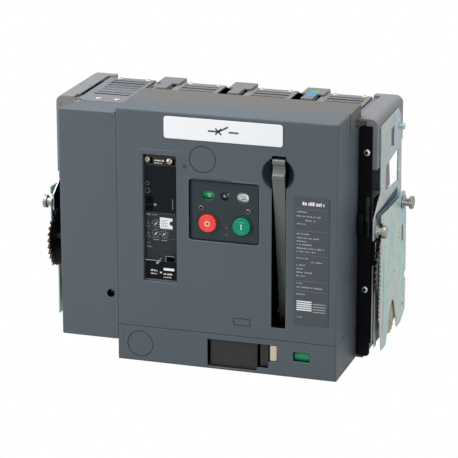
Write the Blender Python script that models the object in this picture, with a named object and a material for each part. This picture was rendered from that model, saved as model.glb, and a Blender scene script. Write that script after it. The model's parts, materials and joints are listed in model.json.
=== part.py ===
"""Four-pole withdrawable air circuit breaker at real size, in metres, +Z up, its front towards -Y.

The origin is the middle of the footprint, at the level the breaker stands on. Each pole is one
pitch wide, and every other size hangs on the pitch, the front face and the housing's box.
"""

import math

import bmesh
import bpy
from mathutils import Matrix

# Driving dimensions
POLE_PITCH = 0.115
POLE_COUNT = 4
POLE_CENTRES = [(index - (POLE_COUNT - 1) / 2) * POLE_PITCH for index in range(POLE_COUNT)]
FACE_Y = -0.165
GAP = 0.0005
WALL = 0.003
SIDES = {"left": -1, "right": 1}

# Housing of the poles, and the barriers between them
HOUSING_HALF_WIDTH = 0.2320
HOUSING_Y = (-0.0505, 0.0850)
HOUSING_TOP = 0.3655
HOUSING_LIP = ((-0.2150, -0.0695, 0.3580), (0.2170, -0.0450, HOUSING_TOP))
POCKET_HALF_WIDTH = 0.0345
POCKET_Y = (-0.0300, 0.0770)
POCKET_FLOOR = 0.0400
BARRIER_BACK = 0.0990
BARRIER_X = (-0.0145, 0.0215)
BARRIER_Z = (0.0200, 0.3705)
TAB_X = (-0.0070, 0.0110)
TAB_Y = (0.0350, 0.0900)
TAB_Z = (0.3600, 0.3695)
TOP_SLOTS_X = ((-0.0205, -0.0170), (0.0115, 0.0150))
TOP_SLOT_Y = (0.0300, 0.0600)
TOP_SLOT_FLOOR = 0.3520
SIDE_SLOT = ((-0.2175, -0.0290, 0.3550), (-0.2135, 0.0540, 0.3700))

# Arc chutes
CHUTE_X = (-0.0405, 0.0335)
CHUTE_PLATE_Y = (-0.0660, 0.0840)
CHUTE_PLATE_Z = (0.3658, 0.3680)
CHUTE_BODY_HALF_WIDTH = 0.0330
CHUTE_BODY_Y = (-0.0285, 0.0755)
CHUTE_BODY_Z = (0.2620, 0.3665)
CHUTE_WALL = 0.0030
CHUTE_CORNER = 0.0120
LOUVRE_COUNT = 7
LOUVRE_X = (-0.0290, 0.0270)
LOUVRE_Y = (-0.0200, 0.0660)
LOUVRE_OPENING = 0.0070

# Main conductors
STAB_HALF_WIDTH = 0.0300
STAB_CLEARANCE = 0.0010
STAB_BACK = 0.1700
UPPER_STAB_Z = (0.2390, 0.2510)
UPPER_STAB_FRONT = 0.0300
CONTACT_BLOCK_BACK = 0.0420
CONTACT_BLOCK_LOW = 0.2150
LOWER_STAB_Z = (0.0890, 0.1010)
LOWER_STAB_FRONT = -0.0100

# Moving contacts
CONTACT_PIVOT = (0.0200, 0.1250)
CONTACT_HALF_WIDTH = 0.0220
CONTACT_HALF_THICKNESS = 0.0060
CONTACT_Z = (-0.0100, 0.1180)
CONTACT_PAD_Z = (0.1000, 0.1165)
CONTACT_PAD_DEPTH = 0.0090
CONTACT_OPENING = math.radians(15)

# Pole shaft
SHAFT_AXIS = (-0.0800, 0.1650)
SHAFT_RADIUS = 0.0120
SHAFT_X = (-0.1900, 0.2100)
SHAFT_HOLE = 0.0160
SHAFT_LEVER = 0.0260
SHAFT_LEVER_HALF_WIDTH = 0.0060

# Front covers
COVER_X = (-0.1156, 0.2211)
COVER_TOP = 0.3874
COVER_BACK = -0.0545
COVER_RADIUS = 0.0035
STRIP_TOP = 0.0550
REAR_NOTCH_Z = 0.3570
TOP_PLATE_FRONT = -0.1030
TOP_PLATE_BACK = -0.0400
TOP_PLATE_Z = (0.3575, 0.3870)
TOP_PLATE_STEP = (-0.0700, 0.3690)
NEUTRAL_X = (-0.2035, -0.1161)
NEUTRAL_Z = (0.0311, 0.3794)
NEUTRAL_REAR_TOP = 0.3682
NEUTRAL_NOTCH_Y = -0.0700
NEUTRAL_SCREW = (-0.1254, 0.1025)
NEUTRAL_SCREW_RADIUS = 0.0055
NEUTRAL_BOSS_RADIUS = 0.0085
NEUTRAL_BOSS_BACK = -0.1450

# Openings of the main cover, as (x, z) corners
OPENING_CORNER = 0.0025
TRIP_OPENING = ((-0.0734, 0.1276), (-0.0221, 0.3208))
TRIP_FRAME_BACK = -0.1500
PANEL_OPENING = ((-0.0026, 0.1978), (0.1034, 0.2887))
PANEL_CORNER = 0.0040
PANEL_FRAME_BACK = -0.1540
SLOT_OPENING = ((0.1227, 0.0749), (0.1437, 0.3335))
SLOT_FRAME_BACK = -0.1350
FRAME_WALL = 0.0030
BOWL_CENTRE = (0.1317, 0.3070)
BOWL_RADIUS = 0.0240
BOWL_DEPTH = 0.0150
BOWL_BACK = -0.1475

# Control panel, buttons and flags
PANEL_Y = (-0.1622, -0.1597)
BUTTON_RADIUS = 0.0132
BUTTON_HOLE = 0.0146
BUTTON_FRONT = -0.1670
BUTTON_COLLAR = ((-0.1592, -0.1565), 0.0160)
BUTTON_STEM = (-0.1350, 0.0050)
OFF_BUTTON = (0.0256, 0.2242)
ON_BUTTON = (0.0772, 0.2237)
FLAG_RADIUS = 0.0135
FLAG_AXIS = (-0.1455, 0.2664)
CONTACT_WINDOW = (0.0257, 0.0098, 0.0065)
READY_WINDOW = (0.0512, 0.0068, 0.0068)
SPRING_WINDOW = (0.0782, 0.0092, 0.0073)
FLAG_OVERLAP = 0.0009

# Charging handle, drawn in the (y, z) plane
HANDLE_X = (0.1240, 0.1425)
HANDLE_PIVOT = (-0.1150, 0.0850)
HANDLE_HUB = 0.0120
HANDLE_BORE = 0.0046
HANDLE_FRONT = (
    (-0.1680, 0.2985),
    (-0.1700, 0.3005),
    (-0.1700, 0.3060),
    (-0.1668, 0.3085),
    (-0.1652, 0.3150),
    (-0.1662, 0.3205),
    (-0.1690, 0.3225),
    (-0.1688, 0.3275),
    (-0.1668, 0.3295),
)
HANDLE_BACK = ((-0.1560, 0.3295), (-0.1585, 0.2960), (-0.1200, 0.1050))
PIVOT_PIN = (0.0950, 0.1560, 0.0040)
RATCHET_X = (0.1000, 0.1060)
RATCHET_RADII = (0.0185, 0.0220)
RATCHET_TEETH = 16

# Trip unit
TRIP_FRONT = -0.1585
TRIP_BACK = -0.1000
TRIP_INSET = 0.0010
TRIP_COVER = ((-0.0716, 0.1590), (-0.0239, 0.3030))
TRIP_COVER_Y = (-0.1625, -0.1610)
TRIP_HINGE_RADIUS = 0.0016
DIAL_CENTRES = ((-0.0560, 0.2148), (-0.0558, 0.1998), (-0.0430, 0.1996))
DIAL_RADIUS = 0.0042
DIAL_Y = (-0.1597, -0.1562)
DIAL_WELL = (0.0047, -0.1555)

# Plates on the front
PLATE_CORNER = 0.0040
NAMEPLATE = ((-0.0402, 0.3477), (0.1389, 0.3805))
NAMEPLATE_Y = (-0.1664, -0.1654)
LABEL = ((0.1569, 0.0844), (0.2084, 0.2770))
LABEL_Y = (-0.1660, -0.1654)

# Racking strip
RACKING_WINDOW = (
    (0.0246, 0.0045),
    (0.0998, 0.0045),
    (0.1015, 0.0103),
    (0.1180, 0.0103),
    (0.1190, 0.0215),
    (0.1330, 0.0215),
    (0.1330, 0.0470),
    (0.0246, 0.0468),
)
SHUTTER = ((0.0275, 0.0040), (0.1000, 0.0500))
SHUTTER_Y = (-0.1590, -0.1565)
LEVER_X = (0.1198, 0.1322)
LEVER_Z = (0.0225, 0.0460)
LEVER_Y = (-0.1640, -0.1400)
LEVER_RADIUS = 0.0040
INDICATOR_OPENING = ((0.1561, 0.0258), (0.1811, 0.0402))
INDICATOR_AXIS = (-0.1510, 0.0330)
INDICATOR_RADIUS = 0.0105
INDICATOR_X = (0.1575, 0.1797)
CRANK_AXIS = (0.0640, 0.0270)
CRANK_Y = (-0.1500, -0.0600)
CRANK_RADIUS = 0.0090
CRANK_SQUARE = 0.0050
CRANK_SOCKET_DEPTH = 0.0300

# Racking drive at the sides
GEAR_AXIS = (-0.0400, 0.1430)
GEAR_X = (0.2535, 0.2575)
GEAR_RADII = (0.0380, 0.0460)
GEAR_TEETH = 28
DRIVE_RADIUS = 0.0060
DRIVE_BORE = 0.0070
DRIVE_END = 0.2580
CAM_AXIS = (0.0120, 0.0470)
CAM_RADII = (0.0220, 0.0255)
CAM_TEETH = 18
CAM_STUB = (0.2325, 0.0050)

# Side metalwork, drawn in the (y, z) plane for the right-hand side
FLANGE_X = (0.2214, 0.2420)
FLANGE_Y = (-0.0540, -0.0510)
FLANGE_Z = (0.0040, 0.3585)
FLANGE_CORNER = 0.0060
CAP_X = (0.2325, 0.2500)
CAP_OUTLINE = (
    (-0.0560, 0.2940),
    (-0.0200, 0.2940),
    (-0.0140, 0.2500),
    (0.0250, 0.2500),
    (0.0180, 0.2920),
    (0.0300, 0.3020),
    (0.0990, 0.3020),
    (0.0990, 0.3700),
    (-0.0560, 0.3700),
)
CAP_TOP = ((0.2180, -0.0560, 0.3660), (0.2400, 0.0990, 0.3700))
CAP_REAR_TAB = ((0.2070, 0.0855, 0.3300), (0.2330, 0.0990, 0.3700))
CAP_RADIUS = 0.0110
CAP_FLANGE_POCKET = ((0.2100, -0.0600, 0.2500), (0.2424, -0.0502, 0.3588))
CAP_TOP_NOTCH = ((0.2100, -0.0600, 0.3600), (0.2212, -0.0395, 0.3750))
SIDE_PLATE_X = (0.2505, 0.2525)
SIDE_PLATE_OUTLINE = (
    (-0.0430, 0.3560),
    (-0.0400, 0.2550),
    (-0.0790, 0.2240),
    (-0.0790, 0.1930),
    (0.0790, 0.1930),
    (0.0880, 0.2100),
    (0.0820, 0.3250),
    (0.0780, 0.3450),
    (0.0620, 0.3590),
)
SIDE_PLATE_WINDOW = (
    (-0.0120, 0.2510),
    (0.0640, 0.2475),
    (0.0640, 0.2930),
    (0.0580, 0.2970),
    (-0.0120, 0.2880),
)
SIDE_PLATE_SLOT = ((0.0170, 0.3120), (0.0370, 0.3080), (0.0370, 0.3390), (0.0170, 0.3370))
RACKING_PLATE_X = (0.2585, 0.2605)
RACKING_PLATE_OUTLINE = (
    (-0.0620, 0.2270),
    (-0.0620, 0.0450),
    (-0.0560, 0.0350),
    (-0.0520, 0.0150),
    (-0.0270, 0.0150),
    (-0.0160, 0.0340),
    (-0.0100, 0.0540),
    (-0.0020, 0.0690),
    (0.0100, 0.0760),
    (0.0220, 0.0690),
    (0.0330, 0.0480),
    (0.0420, 0.0210),
    (0.0650, 0.0210),
    (0.0925, 0.0340),
    (0.0925, 0.0850),
    (0.0850, 0.0860),
    (0.0850, 0.0960),
    (0.0925, 0.0970),
    (0.0905, 0.1750),
    (0.0860, 0.2150),
    (0.0790, 0.2270),
    (0.0640, 0.2300),
    (0.0520, 0.2240),
)
# What only the left-hand side has
LEFT_CAP_LEG = ((-0.2500, -0.0560, 0.2500), (-0.2430, -0.0100, 0.2960))
LEFT_RACKING_RELIEF = ((-0.2700, -0.0800, 0.0000), (-0.2550, -0.0360, 0.1000))
LEFT_SIDE_RELIEF = (
    (-0.0900, 0.2700),
    (-0.0900, 0.1900),
    (-0.0720, 0.1900),
    (-0.0720, 0.2180),
    (-0.0405, 0.2380),
    (-0.0405, 0.2700),
)
FRONT_ROLLER = (0.2530, 0.2685, -0.0650, 0.2040)
REAR_ROLLER = (0.2610, 0.2770, 0.0660, 0.2130)
ROLLER_RADII = (0.0062, 0.0105)
ROLLER_RECESS = 0.0125
ROLLER_HEAD = 0.0055
ROLLER_FLANGE = 0.0028

# Drawing
CIRCLE_STEPS = 32
SMALL_STEPS = 20
CORNER_STEPS = 5
TOOTH_RISE = 0.62
TOOTH_CREST = 0.80
SAME_PLACE = 1e-6
SHORTEST_SIDE = 1e-5
SHARP_ANGLE = math.radians(30)

FINISHES = {
    "grey_moulding": ((0.112, 0.130, 0.148), 0.55, 0.0),
    "top_moulding": ((0.170, 0.160, 0.150), 0.60, 0.0),
    "black_moulding": ((0.020, 0.021, 0.023), 0.50, 0.0),
    "panel": ((0.030, 0.045, 0.052), 0.50, 0.0),
    "trip_black": ((0.012, 0.013, 0.016), 0.35, 0.0),
    "clear_cover": ((0.700, 0.720, 0.740), 0.10, 0.0),
    "red": ((0.800, 0.060, 0.045), 0.35, 0.0),
    "green": ((0.000, 0.300, 0.160), 0.35, 0.0),
    "white": ((0.850, 0.860, 0.870), 0.40, 0.0),
    "label": ((0.085, 0.095, 0.110), 0.45, 0.0),
    "handle_metal": ((0.150, 0.145, 0.120), 0.45, 0.6),
    "zinc": ((0.560, 0.600, 0.590), 0.35, 0.9),
    "black_steel": ((0.015, 0.015, 0.016), 0.45, 0.3),
    "steel": ((0.450, 0.450, 0.440), 0.35, 1.0),
    "brass": ((0.560, 0.480, 0.330), 0.35, 0.9),
    "copper": ((0.720, 0.400, 0.280), 0.35, 1.0),
}


def clear_scene():
    """Remove every object of the startup scene."""
    for obj in list(bpy.data.objects):
        bpy.data.objects.remove(obj, do_unlink=True)


def collection(name):
    """Return the collection of this name, made on first use."""
    found = bpy.data.collections.get(name)
    if found is None:
        found = bpy.data.collections.new(name)
        bpy.context.scene.collection.children.link(found)
    return found


def material(finish):
    """Return the Principled material of a finish, made on first use."""
    found = bpy.data.materials.get(finish)
    if found is None:
        colour, roughness, metallic = FINISHES[finish]
        found = bpy.data.materials.new(finish)
        found.use_nodes = True
        shader = found.node_tree.nodes["Principled BSDF"]
        shader.inputs["Base Color"].default_value = (*colour, 1.0)
        shader.inputs["Roughness"].default_value = roughness
        shader.inputs["Metallic"].default_value = metallic
    return found


def placed(name, mesh, finish, pivot):
    """Put a mesh drawn in world coordinates into an object whose origin is the pivot."""
    mesh.transform(Matrix.Translation([-value for value in pivot]))
    obj = bpy.data.objects.new(name, mesh)
    obj.location = pivot
    if finish is None:
        collection("cutters").objects.link(obj)
        obj.hide_render = True
        obj.display_type = "WIRE"
    else:
        collection("air_circuit_breaker").objects.link(obj)
        mesh.materials.append(material(finish))
    return obj


def middle(low, high):
    """The centre of a box."""
    return [(a + b) / 2 for a, b in zip(low, high)]


def block(name, low, high, finish=None, pivot=None, round_edges=(), radius=0.0, segments=3):
    """A box between two corners, with some of its edges rounded.

    An edge is named by the two sides it joins, such as "-y+z".
    """
    low, high = [min(pair) for pair in zip(low, high)], [max(pair) for pair in zip(low, high)]
    shape = bmesh.new()
    size = Matrix.Diagonal([b - a for a, b in zip(low, high)]).to_4x4()
    bmesh.ops.create_cube(shape, size=1.0, matrix=Matrix.Translation(middle(low, high)) @ size)
    if round_edges:
        chosen = [edge for edge in shape.edges if sides_of(edge, low, high) in round_edges]
        bmesh.ops.bevel(shape, geom=chosen, offset=radius, segments=segments, affect="EDGES", profile=0.5)
    mesh = bpy.data.meshes.new(name)
    shape.to_mesh(mesh)
    shape.free()
    return placed(name, mesh, finish, pivot or middle(low, high))


def sides_of(edge, low, high):
    """Name the two sides of the box that an edge joins, in the order x, y, z."""
    centre = (edge.verts[0].co + edge.verts[1].co) / 2
    named = ""
    for axis, letter in enumerate("xyz"):
        if math.isclose(centre[axis], low[axis], abs_tol=SAME_PLACE):
            named += "-" + letter
        if math.isclose(centre[axis], high[axis], abs_tol=SAME_PLACE):
            named += "+" + letter
    return named


TURN_TO_AXIS = {
    "X": Matrix.Rotation(math.radians(90), 4, "Y"),
    "Y": Matrix.Rotation(math.radians(-90), 4, "X"),
    "Z": Matrix.Identity(4),
}


def across(axis, along, centre):
    """The point at a distance along an axis, with the other two coordinates given in order."""
    point = list(centre)
    point.insert("XYZ".index(axis), along)
    return point


def rod(name, axis, centre, ends, radius, finish=None, pivot=None, steps=CIRCLE_STEPS):
    """A cylinder along an axis, between two ends."""
    start, stop = sorted(ends)
    spot = across(axis, (start + stop) / 2, centre)
    shape = bmesh.new()
    bmesh.ops.create_cone(
        shape,
        cap_ends=True,
        segments=steps,
        radius1=radius,
        radius2=radius,
        depth=stop - start,
        matrix=Matrix.Translation(spot) @ TURN_TO_AXIS[axis],
    )
    mesh = bpy.data.meshes.new(name)
    shape.to_mesh(mesh)
    shape.free()
    return placed(name, mesh, finish, pivot or spot)


def turned(name, axis, centre, profile, finish, pivot=None, steps=CIRCLE_STEPS):
    """A turned piece: rings of (distance along the axis, radius), closed by flat ends."""
    shape = bmesh.new()
    around = TURN_TO_AXIS[axis]
    rings = []
    for along, radius in profile:
        base = Matrix.Translation(across(axis, along, centre)) @ around
        ring = bmesh.ops.create_circle(shape, cap_ends=False, segments=steps, radius=radius, matrix=base)
        rings.append(ring["verts"])
    for first, second in zip(rings, rings[1:]):
        for index in range(steps):
            following = (index + 1) % steps
            shape.faces.new((first[index], first[following], second[following], second[index]))
    shape.faces.new(reversed(rings[0]))
    shape.faces.new(rings[-1])
    bmesh.ops.recalc_face_normals(shape, faces=shape.faces)
    mesh = bpy.data.meshes.new(name)
    shape.to_mesh(mesh)
    shape.free()
    return placed(name, mesh, finish, pivot or across(axis, profile[0][0], centre))


OUTLINE_PLANES = {
    "X": Matrix(((0, 0, 1, 0), (1, 0, 0, 0), (0, 1, 0, 0), (0, 0, 0, 1))),
    "Y": Matrix(((1, 0, 0, 0), (0, 0, -1, 0), (0, 1, 0, 0), (0, 0, 0, 1))),
}


def sheet(name, axis, outlines, ends, finish=None, pivot=None):
    """A flat piece: an outline and its holes, drawn across an axis and extruded between two ends."""
    start, stop = sorted(ends)
    curve = bpy.data.curves.new(name, "CURVE")
    curve.dimensions = "2D"
    curve.fill_mode = "BOTH"
    curve.extrude = (stop - start) / 2
    for outline in outlines:
        spline = curve.splines.new("POLY")
        spline.points.add(len(outline) - 1)
        for point, (across_u, across_v) in zip(spline.points, outline):
            point.co = (across_u, across_v, 0.0, 1.0)
        spline.use_cyclic_u = True
    guide = bpy.data.objects.new(name + "_guide", curve)
    bpy.context.scene.collection.objects.link(guide)
    bpy.context.view_layer.update()
    graph = bpy.context.evaluated_depsgraph_get()
    mesh = bpy.data.meshes.new_from_object(guide.evaluated_get(graph))
    bpy.data.objects.remove(guide, do_unlink=True)
    shape = bmesh.new()
    shape.from_mesh(mesh)
    bmesh.ops.remove_doubles(shape, verts=shape.verts, dist=SAME_PLACE)
    shape.to_mesh(mesh)
    shape.free()
    mesh.materials.clear()
    mesh.transform(Matrix.Translation(across(axis, (start + stop) / 2, (0, 0))) @ OUTLINE_PLANES[axis])
    return placed(name, mesh, finish, pivot or across(axis, (start + stop) / 2, outlines[0][0]))


def circle(centre, radius, steps=CIRCLE_STEPS):
    """Points round a circle."""
    turns = [2 * math.pi * step / steps for step in range(steps)]
    return [(centre[0] + radius * math.cos(turn), centre[1] + radius * math.sin(turn)) for turn in turns]


def rounded(corners, radius, steps=CORNER_STEPS):
    """A rectangle between two corners, each corner an arc."""
    (left, bottom), (right, top) = corners
    centres = (
        (right - radius, top - radius),
        (left + radius, top - radius),
        (left + radius, bottom + radius),
        (right - radius, bottom + radius),
    )
    points = []
    for quarter, (x, z) in enumerate(centres):
        for step in range(steps + 1):
            turn = math.pi / 2 * (quarter + step / steps)
            points.append((x + radius * math.cos(turn), z + radius * math.sin(turn)))
    return points


def stadium(centre, half_width, half_height, steps=CORNER_STEPS):
    """A rectangle whose corners are as round as its height allows."""
    corners = (
        (centre[0] - half_width, centre[1] - half_height),
        (centre[0] + half_width, centre[1] + half_height),
    )
    return rounded(corners, half_height - SHORTEST_SIDE, steps)


def toothed(centre, radii, teeth):
    """A ratchet outline: each tooth rises slowly and falls steeply."""
    inner, outer = radii
    points = []
    for tooth in range(teeth):
        for share, radius in ((0.0, inner), (TOOTH_RISE, outer), (TOOTH_CREST, outer)):
            turn = 2 * math.pi * (tooth + share) / teeth
            points.append((centre[0] + radius * math.cos(turn), centre[1] + radius * math.sin(turn)))
    return points


def grown(corners, margin):
    """A rectangle's corners moved outwards by a margin."""
    (left, bottom), (right, top) = corners
    return ((left - margin, bottom - margin), (right + margin, top + margin))


def combine(target, helper, operation):
    """Add a Boolean of a hidden helper to an object."""
    modifier = target.modifiers.new(helper.name, "BOOLEAN")
    modifier.operation = operation
    modifier.solver = "EXACT"
    modifier.object = helper


def cut(target, *helpers):
    """Cut helpers out of an object."""
    for helper in helpers:
        combine(target, helper, "DIFFERENCE")


def join(target, *helpers):
    """Join helpers to an object."""
    for helper in helpers:
        combine(target, helper, "UNION")


def mirrored(side, ends):
    """A pair of distances from the middle plane, on one side of it."""
    return tuple(side * value for value in ends)


def box_on_side(name, side, corners):
    """A cutter or a helper given for the right-hand side, on either side."""
    (x0, y0, z0), (x1, y1, z1) = corners
    return block(name, (side * x0, y0, z0), (side * x1, y1, z1))


def build_rear_housing():
    """The moulded base: pockets for the poles, barriers behind them and a tunnel for the drive."""
    housing = block(
        "rear_housing",
        (-HOUSING_HALF_WIDTH, HOUSING_Y[0], 0.0),
        (HOUSING_HALF_WIDTH, HOUSING_Y[1], HOUSING_TOP),
        "black_moulding",
    )
    join(housing, block("housing_lip", *HOUSING_LIP))
    for index in range(POLE_COUNT - 1):
        between = POLE_CENTRES[index] + POLE_PITCH / 2
        barrier = [
            (between + BARRIER_X[0], HOUSING_Y[1] - GAP, BARRIER_Z[0]),
            (between + BARRIER_X[1], BARRIER_BACK, BARRIER_Z[1]),
        ]
        tab = [(between + TAB_X[0], TAB_Y[0], TAB_Z[0]), (between + TAB_X[1], TAB_Y[1], TAB_Z[1])]
        join(housing, block(f"barrier_{index + 1}", *barrier), block(f"tab_{index + 1}", *tab))
    for index, centre in enumerate(POLE_CENTRES, 1):
        pocket = [
            (centre - POCKET_HALF_WIDTH, POCKET_Y[0], POCKET_FLOOR),
            (centre + POCKET_HALF_WIDTH, POCKET_Y[1], HOUSING_TOP + WALL),
        ]
        cut(housing, block(f"pocket_{index}", *pocket))
        for level, (low, high) in (("upper", UPPER_STAB_Z), ("lower", LOWER_STAB_Z)):
            reach = STAB_HALF_WIDTH + STAB_CLEARANCE
            passage = [
                (centre - reach, POCKET_Y[1] - WALL, low - STAB_CLEARANCE),
                (centre + reach, BARRIER_BACK, high + STAB_CLEARANCE),
            ]
            cut(housing, block(f"{level}_passage_{index}", *passage))
    for index in range(POLE_COUNT - 1):
        between = POLE_CENTRES[index] + POLE_PITCH / 2
        for number, (low, high) in enumerate(TOP_SLOTS_X, 1):
            slot = [
                (between + low, TOP_SLOT_Y[0], TOP_SLOT_FLOOR),
                (between + high, TOP_SLOT_Y[1], HOUSING_TOP + 2 * WALL),
            ]
            cut(housing, block(f"top_slot_{index + 1}_{number}", *slot))
    cut(housing, block("side_slot", *SIDE_SLOT))
    ends = (-HOUSING_HALF_WIDTH - WALL, HOUSING_HALF_WIDTH + WALL)
    cut(housing, rod("drive_tunnel", "X", GEAR_AXIS, ends, DRIVE_BORE, steps=SMALL_STEPS))


def build_arc_chutes():
    """One louvred chute in each pole's pocket, hollow below for its splitter plates."""
    step = (LOUVRE_Y[1] - LOUVRE_Y[0]) / (LOUVRE_COUNT - 1)
    for index, centre in enumerate(POLE_CENTRES, 1):
        chute = block(
            f"arc_chute_{index}",
            (centre + CHUTE_X[0], CHUTE_PLATE_Y[0], CHUTE_PLATE_Z[0]),
            (centre + CHUTE_X[1], CHUTE_PLATE_Y[1], CHUTE_PLATE_Z[1]),
            "grey_moulding",
            round_edges=("-x-y",),
            radius=CHUTE_CORNER,
            segments=1,
        )
        low = (centre - CHUTE_BODY_HALF_WIDTH, CHUTE_BODY_Y[0], CHUTE_BODY_Z[0])
        high = (centre + CHUTE_BODY_HALF_WIDTH, CHUTE_BODY_Y[1], CHUTE_BODY_Z[1])
        join(chute, block(f"chute_body_{index}", low, high))
        hollow_low = [low[0] + CHUTE_WALL, low[1] + CHUTE_WALL, low[2] - CHUTE_WALL]
        hollow_high = [high[0] - CHUTE_WALL, high[1] - CHUTE_WALL, high[2] - CHUTE_WALL]
        cut(chute, block(f"chute_hollow_{index}", hollow_low, hollow_high))
        for louvre in range(LOUVRE_COUNT):
            front = LOUVRE_Y[0] + step * louvre - LOUVRE_OPENING / 2
            slot = [
                (centre + LOUVRE_X[0], front, CHUTE_BODY_Z[1] - 2 * CHUTE_WALL),
                (centre + LOUVRE_X[1], front + LOUVRE_OPENING, CHUTE_PLATE_Z[1] + CHUTE_WALL),
            ]
            cut(chute, block(f"louvre_{index}_{louvre + 1}", *slot))


def build_conductors():
    """The fixed conductors of each pole: an upper stab with its contact block, and a lower stab."""
    for index, centre in enumerate(POLE_CENTRES, 1):
        left, right = centre - STAB_HALF_WIDTH, centre + STAB_HALF_WIDTH
        upper = block(
            f"upper_stab_{index}",
            (left, UPPER_STAB_FRONT, UPPER_STAB_Z[0]),
            (right, STAB_BACK, UPPER_STAB_Z[1]),
            "copper",
            round_edges=("-x+y", "+x+y", "+y-z", "+y+z"),
            radius=STAB_CLEARANCE,
            segments=1,
        )
        contact = [
            (centre - CONTACT_HALF_WIDTH, UPPER_STAB_FRONT, CONTACT_BLOCK_LOW),
            (centre + CONTACT_HALF_WIDTH, CONTACT_BLOCK_BACK, UPPER_STAB_Z[0] + WALL),
        ]
        join(upper, block(f"contact_block_{index}", *contact))
        block(
            f"lower_stab_{index}",
            (left, LOWER_STAB_FRONT, LOWER_STAB_Z[0]),
            (right, STAB_BACK, LOWER_STAB_Z[1]),
            "copper",
            round_edges=("-x+y", "+x+y", "+y-z", "+y+z"),
            radius=STAB_CLEARANCE,
            segments=1,
        )


def build_moving_contacts():
    """One contact arm a pole, its origin on its pivot, leaning forwards while the breaker is open."""
    for index, centre in enumerate(POLE_CENTRES, 1):
        pivot = (centre, *CONTACT_PIVOT)
        arm = block(
            f"moving_contact_{index}",
            (centre - CONTACT_HALF_WIDTH, pivot[1] - CONTACT_HALF_THICKNESS, pivot[2] + CONTACT_Z[0]),
            (centre + CONTACT_HALF_WIDTH, pivot[1] + CONTACT_HALF_THICKNESS, pivot[2] + CONTACT_Z[1]),
            "copper",
            pivot=pivot,
        )
        pad = block(
            f"contact_pad_{index}",
            (centre - CONTACT_HALF_WIDTH + WALL, pivot[1], pivot[2] + CONTACT_PAD_Z[0]),
            (centre + CONTACT_HALF_WIDTH - WALL, pivot[1] + CONTACT_PAD_DEPTH, pivot[2] + CONTACT_PAD_Z[1]),
            pivot=pivot,
        )
        join(arm, pad)
        for leaning in (arm, pad):
            leaning.rotation_euler.x = CONTACT_OPENING


def build_pole_shaft():
    """The shaft that drives the four contacts, with one lever for each pole."""
    shaft = rod("pole_shaft", "X", SHAFT_AXIS, SHAFT_X, SHAFT_RADIUS, "steel", steps=SMALL_STEPS)
    depth, height = SHAFT_AXIS
    for index, centre in enumerate(POLE_CENTRES, 1):
        lever = [
            (centre - SHAFT_LEVER_HALF_WIDTH, depth - SHAFT_LEVER_HALF_WIDTH, height),
            (centre + SHAFT_LEVER_HALF_WIDTH, depth + SHAFT_LEVER_HALF_WIDTH, height + SHAFT_LEVER),
        ]
        join(shaft, block(f"shaft_lever_{index}", *lever))


def framed_opening(name, corners, radius, frame_back):
    """The frame of walls behind an opening of the face, and the cutter of the opening."""
    outline = rounded(grown(corners, FRAME_WALL), radius)
    frame = sheet(f"{name}_frame", "Y", [outline], (FACE_Y + WALL / 2, frame_back))
    opening = sheet(f"{name}_opening", "Y", [rounded(corners, radius)], (FACE_Y - WALL, frame_back + WALL))
    return frame, opening


def build_front_cover():
    """The moulded main cover: a shell open at the back, with framed openings in its face."""
    cover = block(
        "front_cover",
        (COVER_X[0], FACE_Y, STRIP_TOP + GAP),
        (COVER_X[1], COVER_BACK, COVER_TOP),
        "grey_moulding",
        round_edges=("-y+z", "+x-y", "+x+z", "-x-y", "-x+z"),
        radius=COVER_RADIUS,
    )
    cut(
        cover,
        block(
            "cover_hollow",
            (COVER_X[0] + WALL, FACE_Y + WALL, 0.0),
            (COVER_X[1] - WALL, 0.0, COVER_TOP - WALL),
        ),
        block(
            "top_plate_notch",
            (COVER_X[0] - WALL, TOP_PLATE_FRONT, REAR_NOTCH_Z),
            (COVER_X[1] + WALL, 0.0, COVER_TOP + WALL),
        ),
        rod("shaft_passage", "X", SHAFT_AXIS, (COVER_X[0] - WALL, COVER_X[0] + 2 * WALL), SHAFT_HOLE),
    )
    trip = framed_opening("trip", TRIP_OPENING, OPENING_CORNER, TRIP_FRAME_BACK)
    panel = framed_opening("panel", PANEL_OPENING, PANEL_CORNER, PANEL_FRAME_BACK)
    slot = framed_opening("slot", SLOT_OPENING, OPENING_CORNER / 2, SLOT_FRAME_BACK)
    boss = rod("bowl_boss", "Y", BOWL_CENTRE, (FACE_Y + WALL / 2, BOWL_BACK), BOWL_RADIUS + FRAME_WALL)
    bowl_sphere = (BOWL_RADIUS**2 + BOWL_DEPTH**2) / (2 * BOWL_DEPTH)
    shape = bmesh.new()
    centre = (BOWL_CENTRE[0], FACE_Y + BOWL_DEPTH - bowl_sphere, BOWL_CENTRE[1])
    bmesh.ops.create_uvsphere(
        shape,
        u_segments=CIRCLE_STEPS,
        v_segments=CIRCLE_STEPS // 2,
        radius=bowl_sphere,
        matrix=Matrix.Translation(centre) @ TURN_TO_AXIS["Y"],
    )
    mesh = bpy.data.meshes.new("bowl")
    shape.to_mesh(mesh)
    shape.free()
    bowl = placed("bowl", mesh, None, centre)
    join(cover, boss, trip[0], panel[0], slot[0])
    cut(cover, bowl, trip[1], panel[1], slot[1])


def build_racking_cover():
    """The strip below the main cover, with the racking window and the position window."""
    cover = block(
        "racking_cover",
        (COVER_X[0], FACE_Y, 0.0),
        (COVER_X[1], COVER_BACK, STRIP_TOP),
        "grey_moulding",
        round_edges=("+x-y", "-x-y", "-y-z"),
        radius=COVER_RADIUS,
    )
    hollow = block(
        "strip_hollow",
        (COVER_X[0] + WALL, FACE_Y + WALL, WALL),
        (COVER_X[1] - WALL, 0.0, STRIP_TOP + WALL),
    )
    through = (FACE_Y - WALL, FACE_Y + 2 * WALL)
    window = sheet("racking_window", "Y", [RACKING_WINDOW], through)
    indicator = sheet("position_window", "Y", [rounded(INDICATOR_OPENING, OPENING_CORNER / 2)], through)
    cut(cover, hollow, window, indicator)


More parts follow.
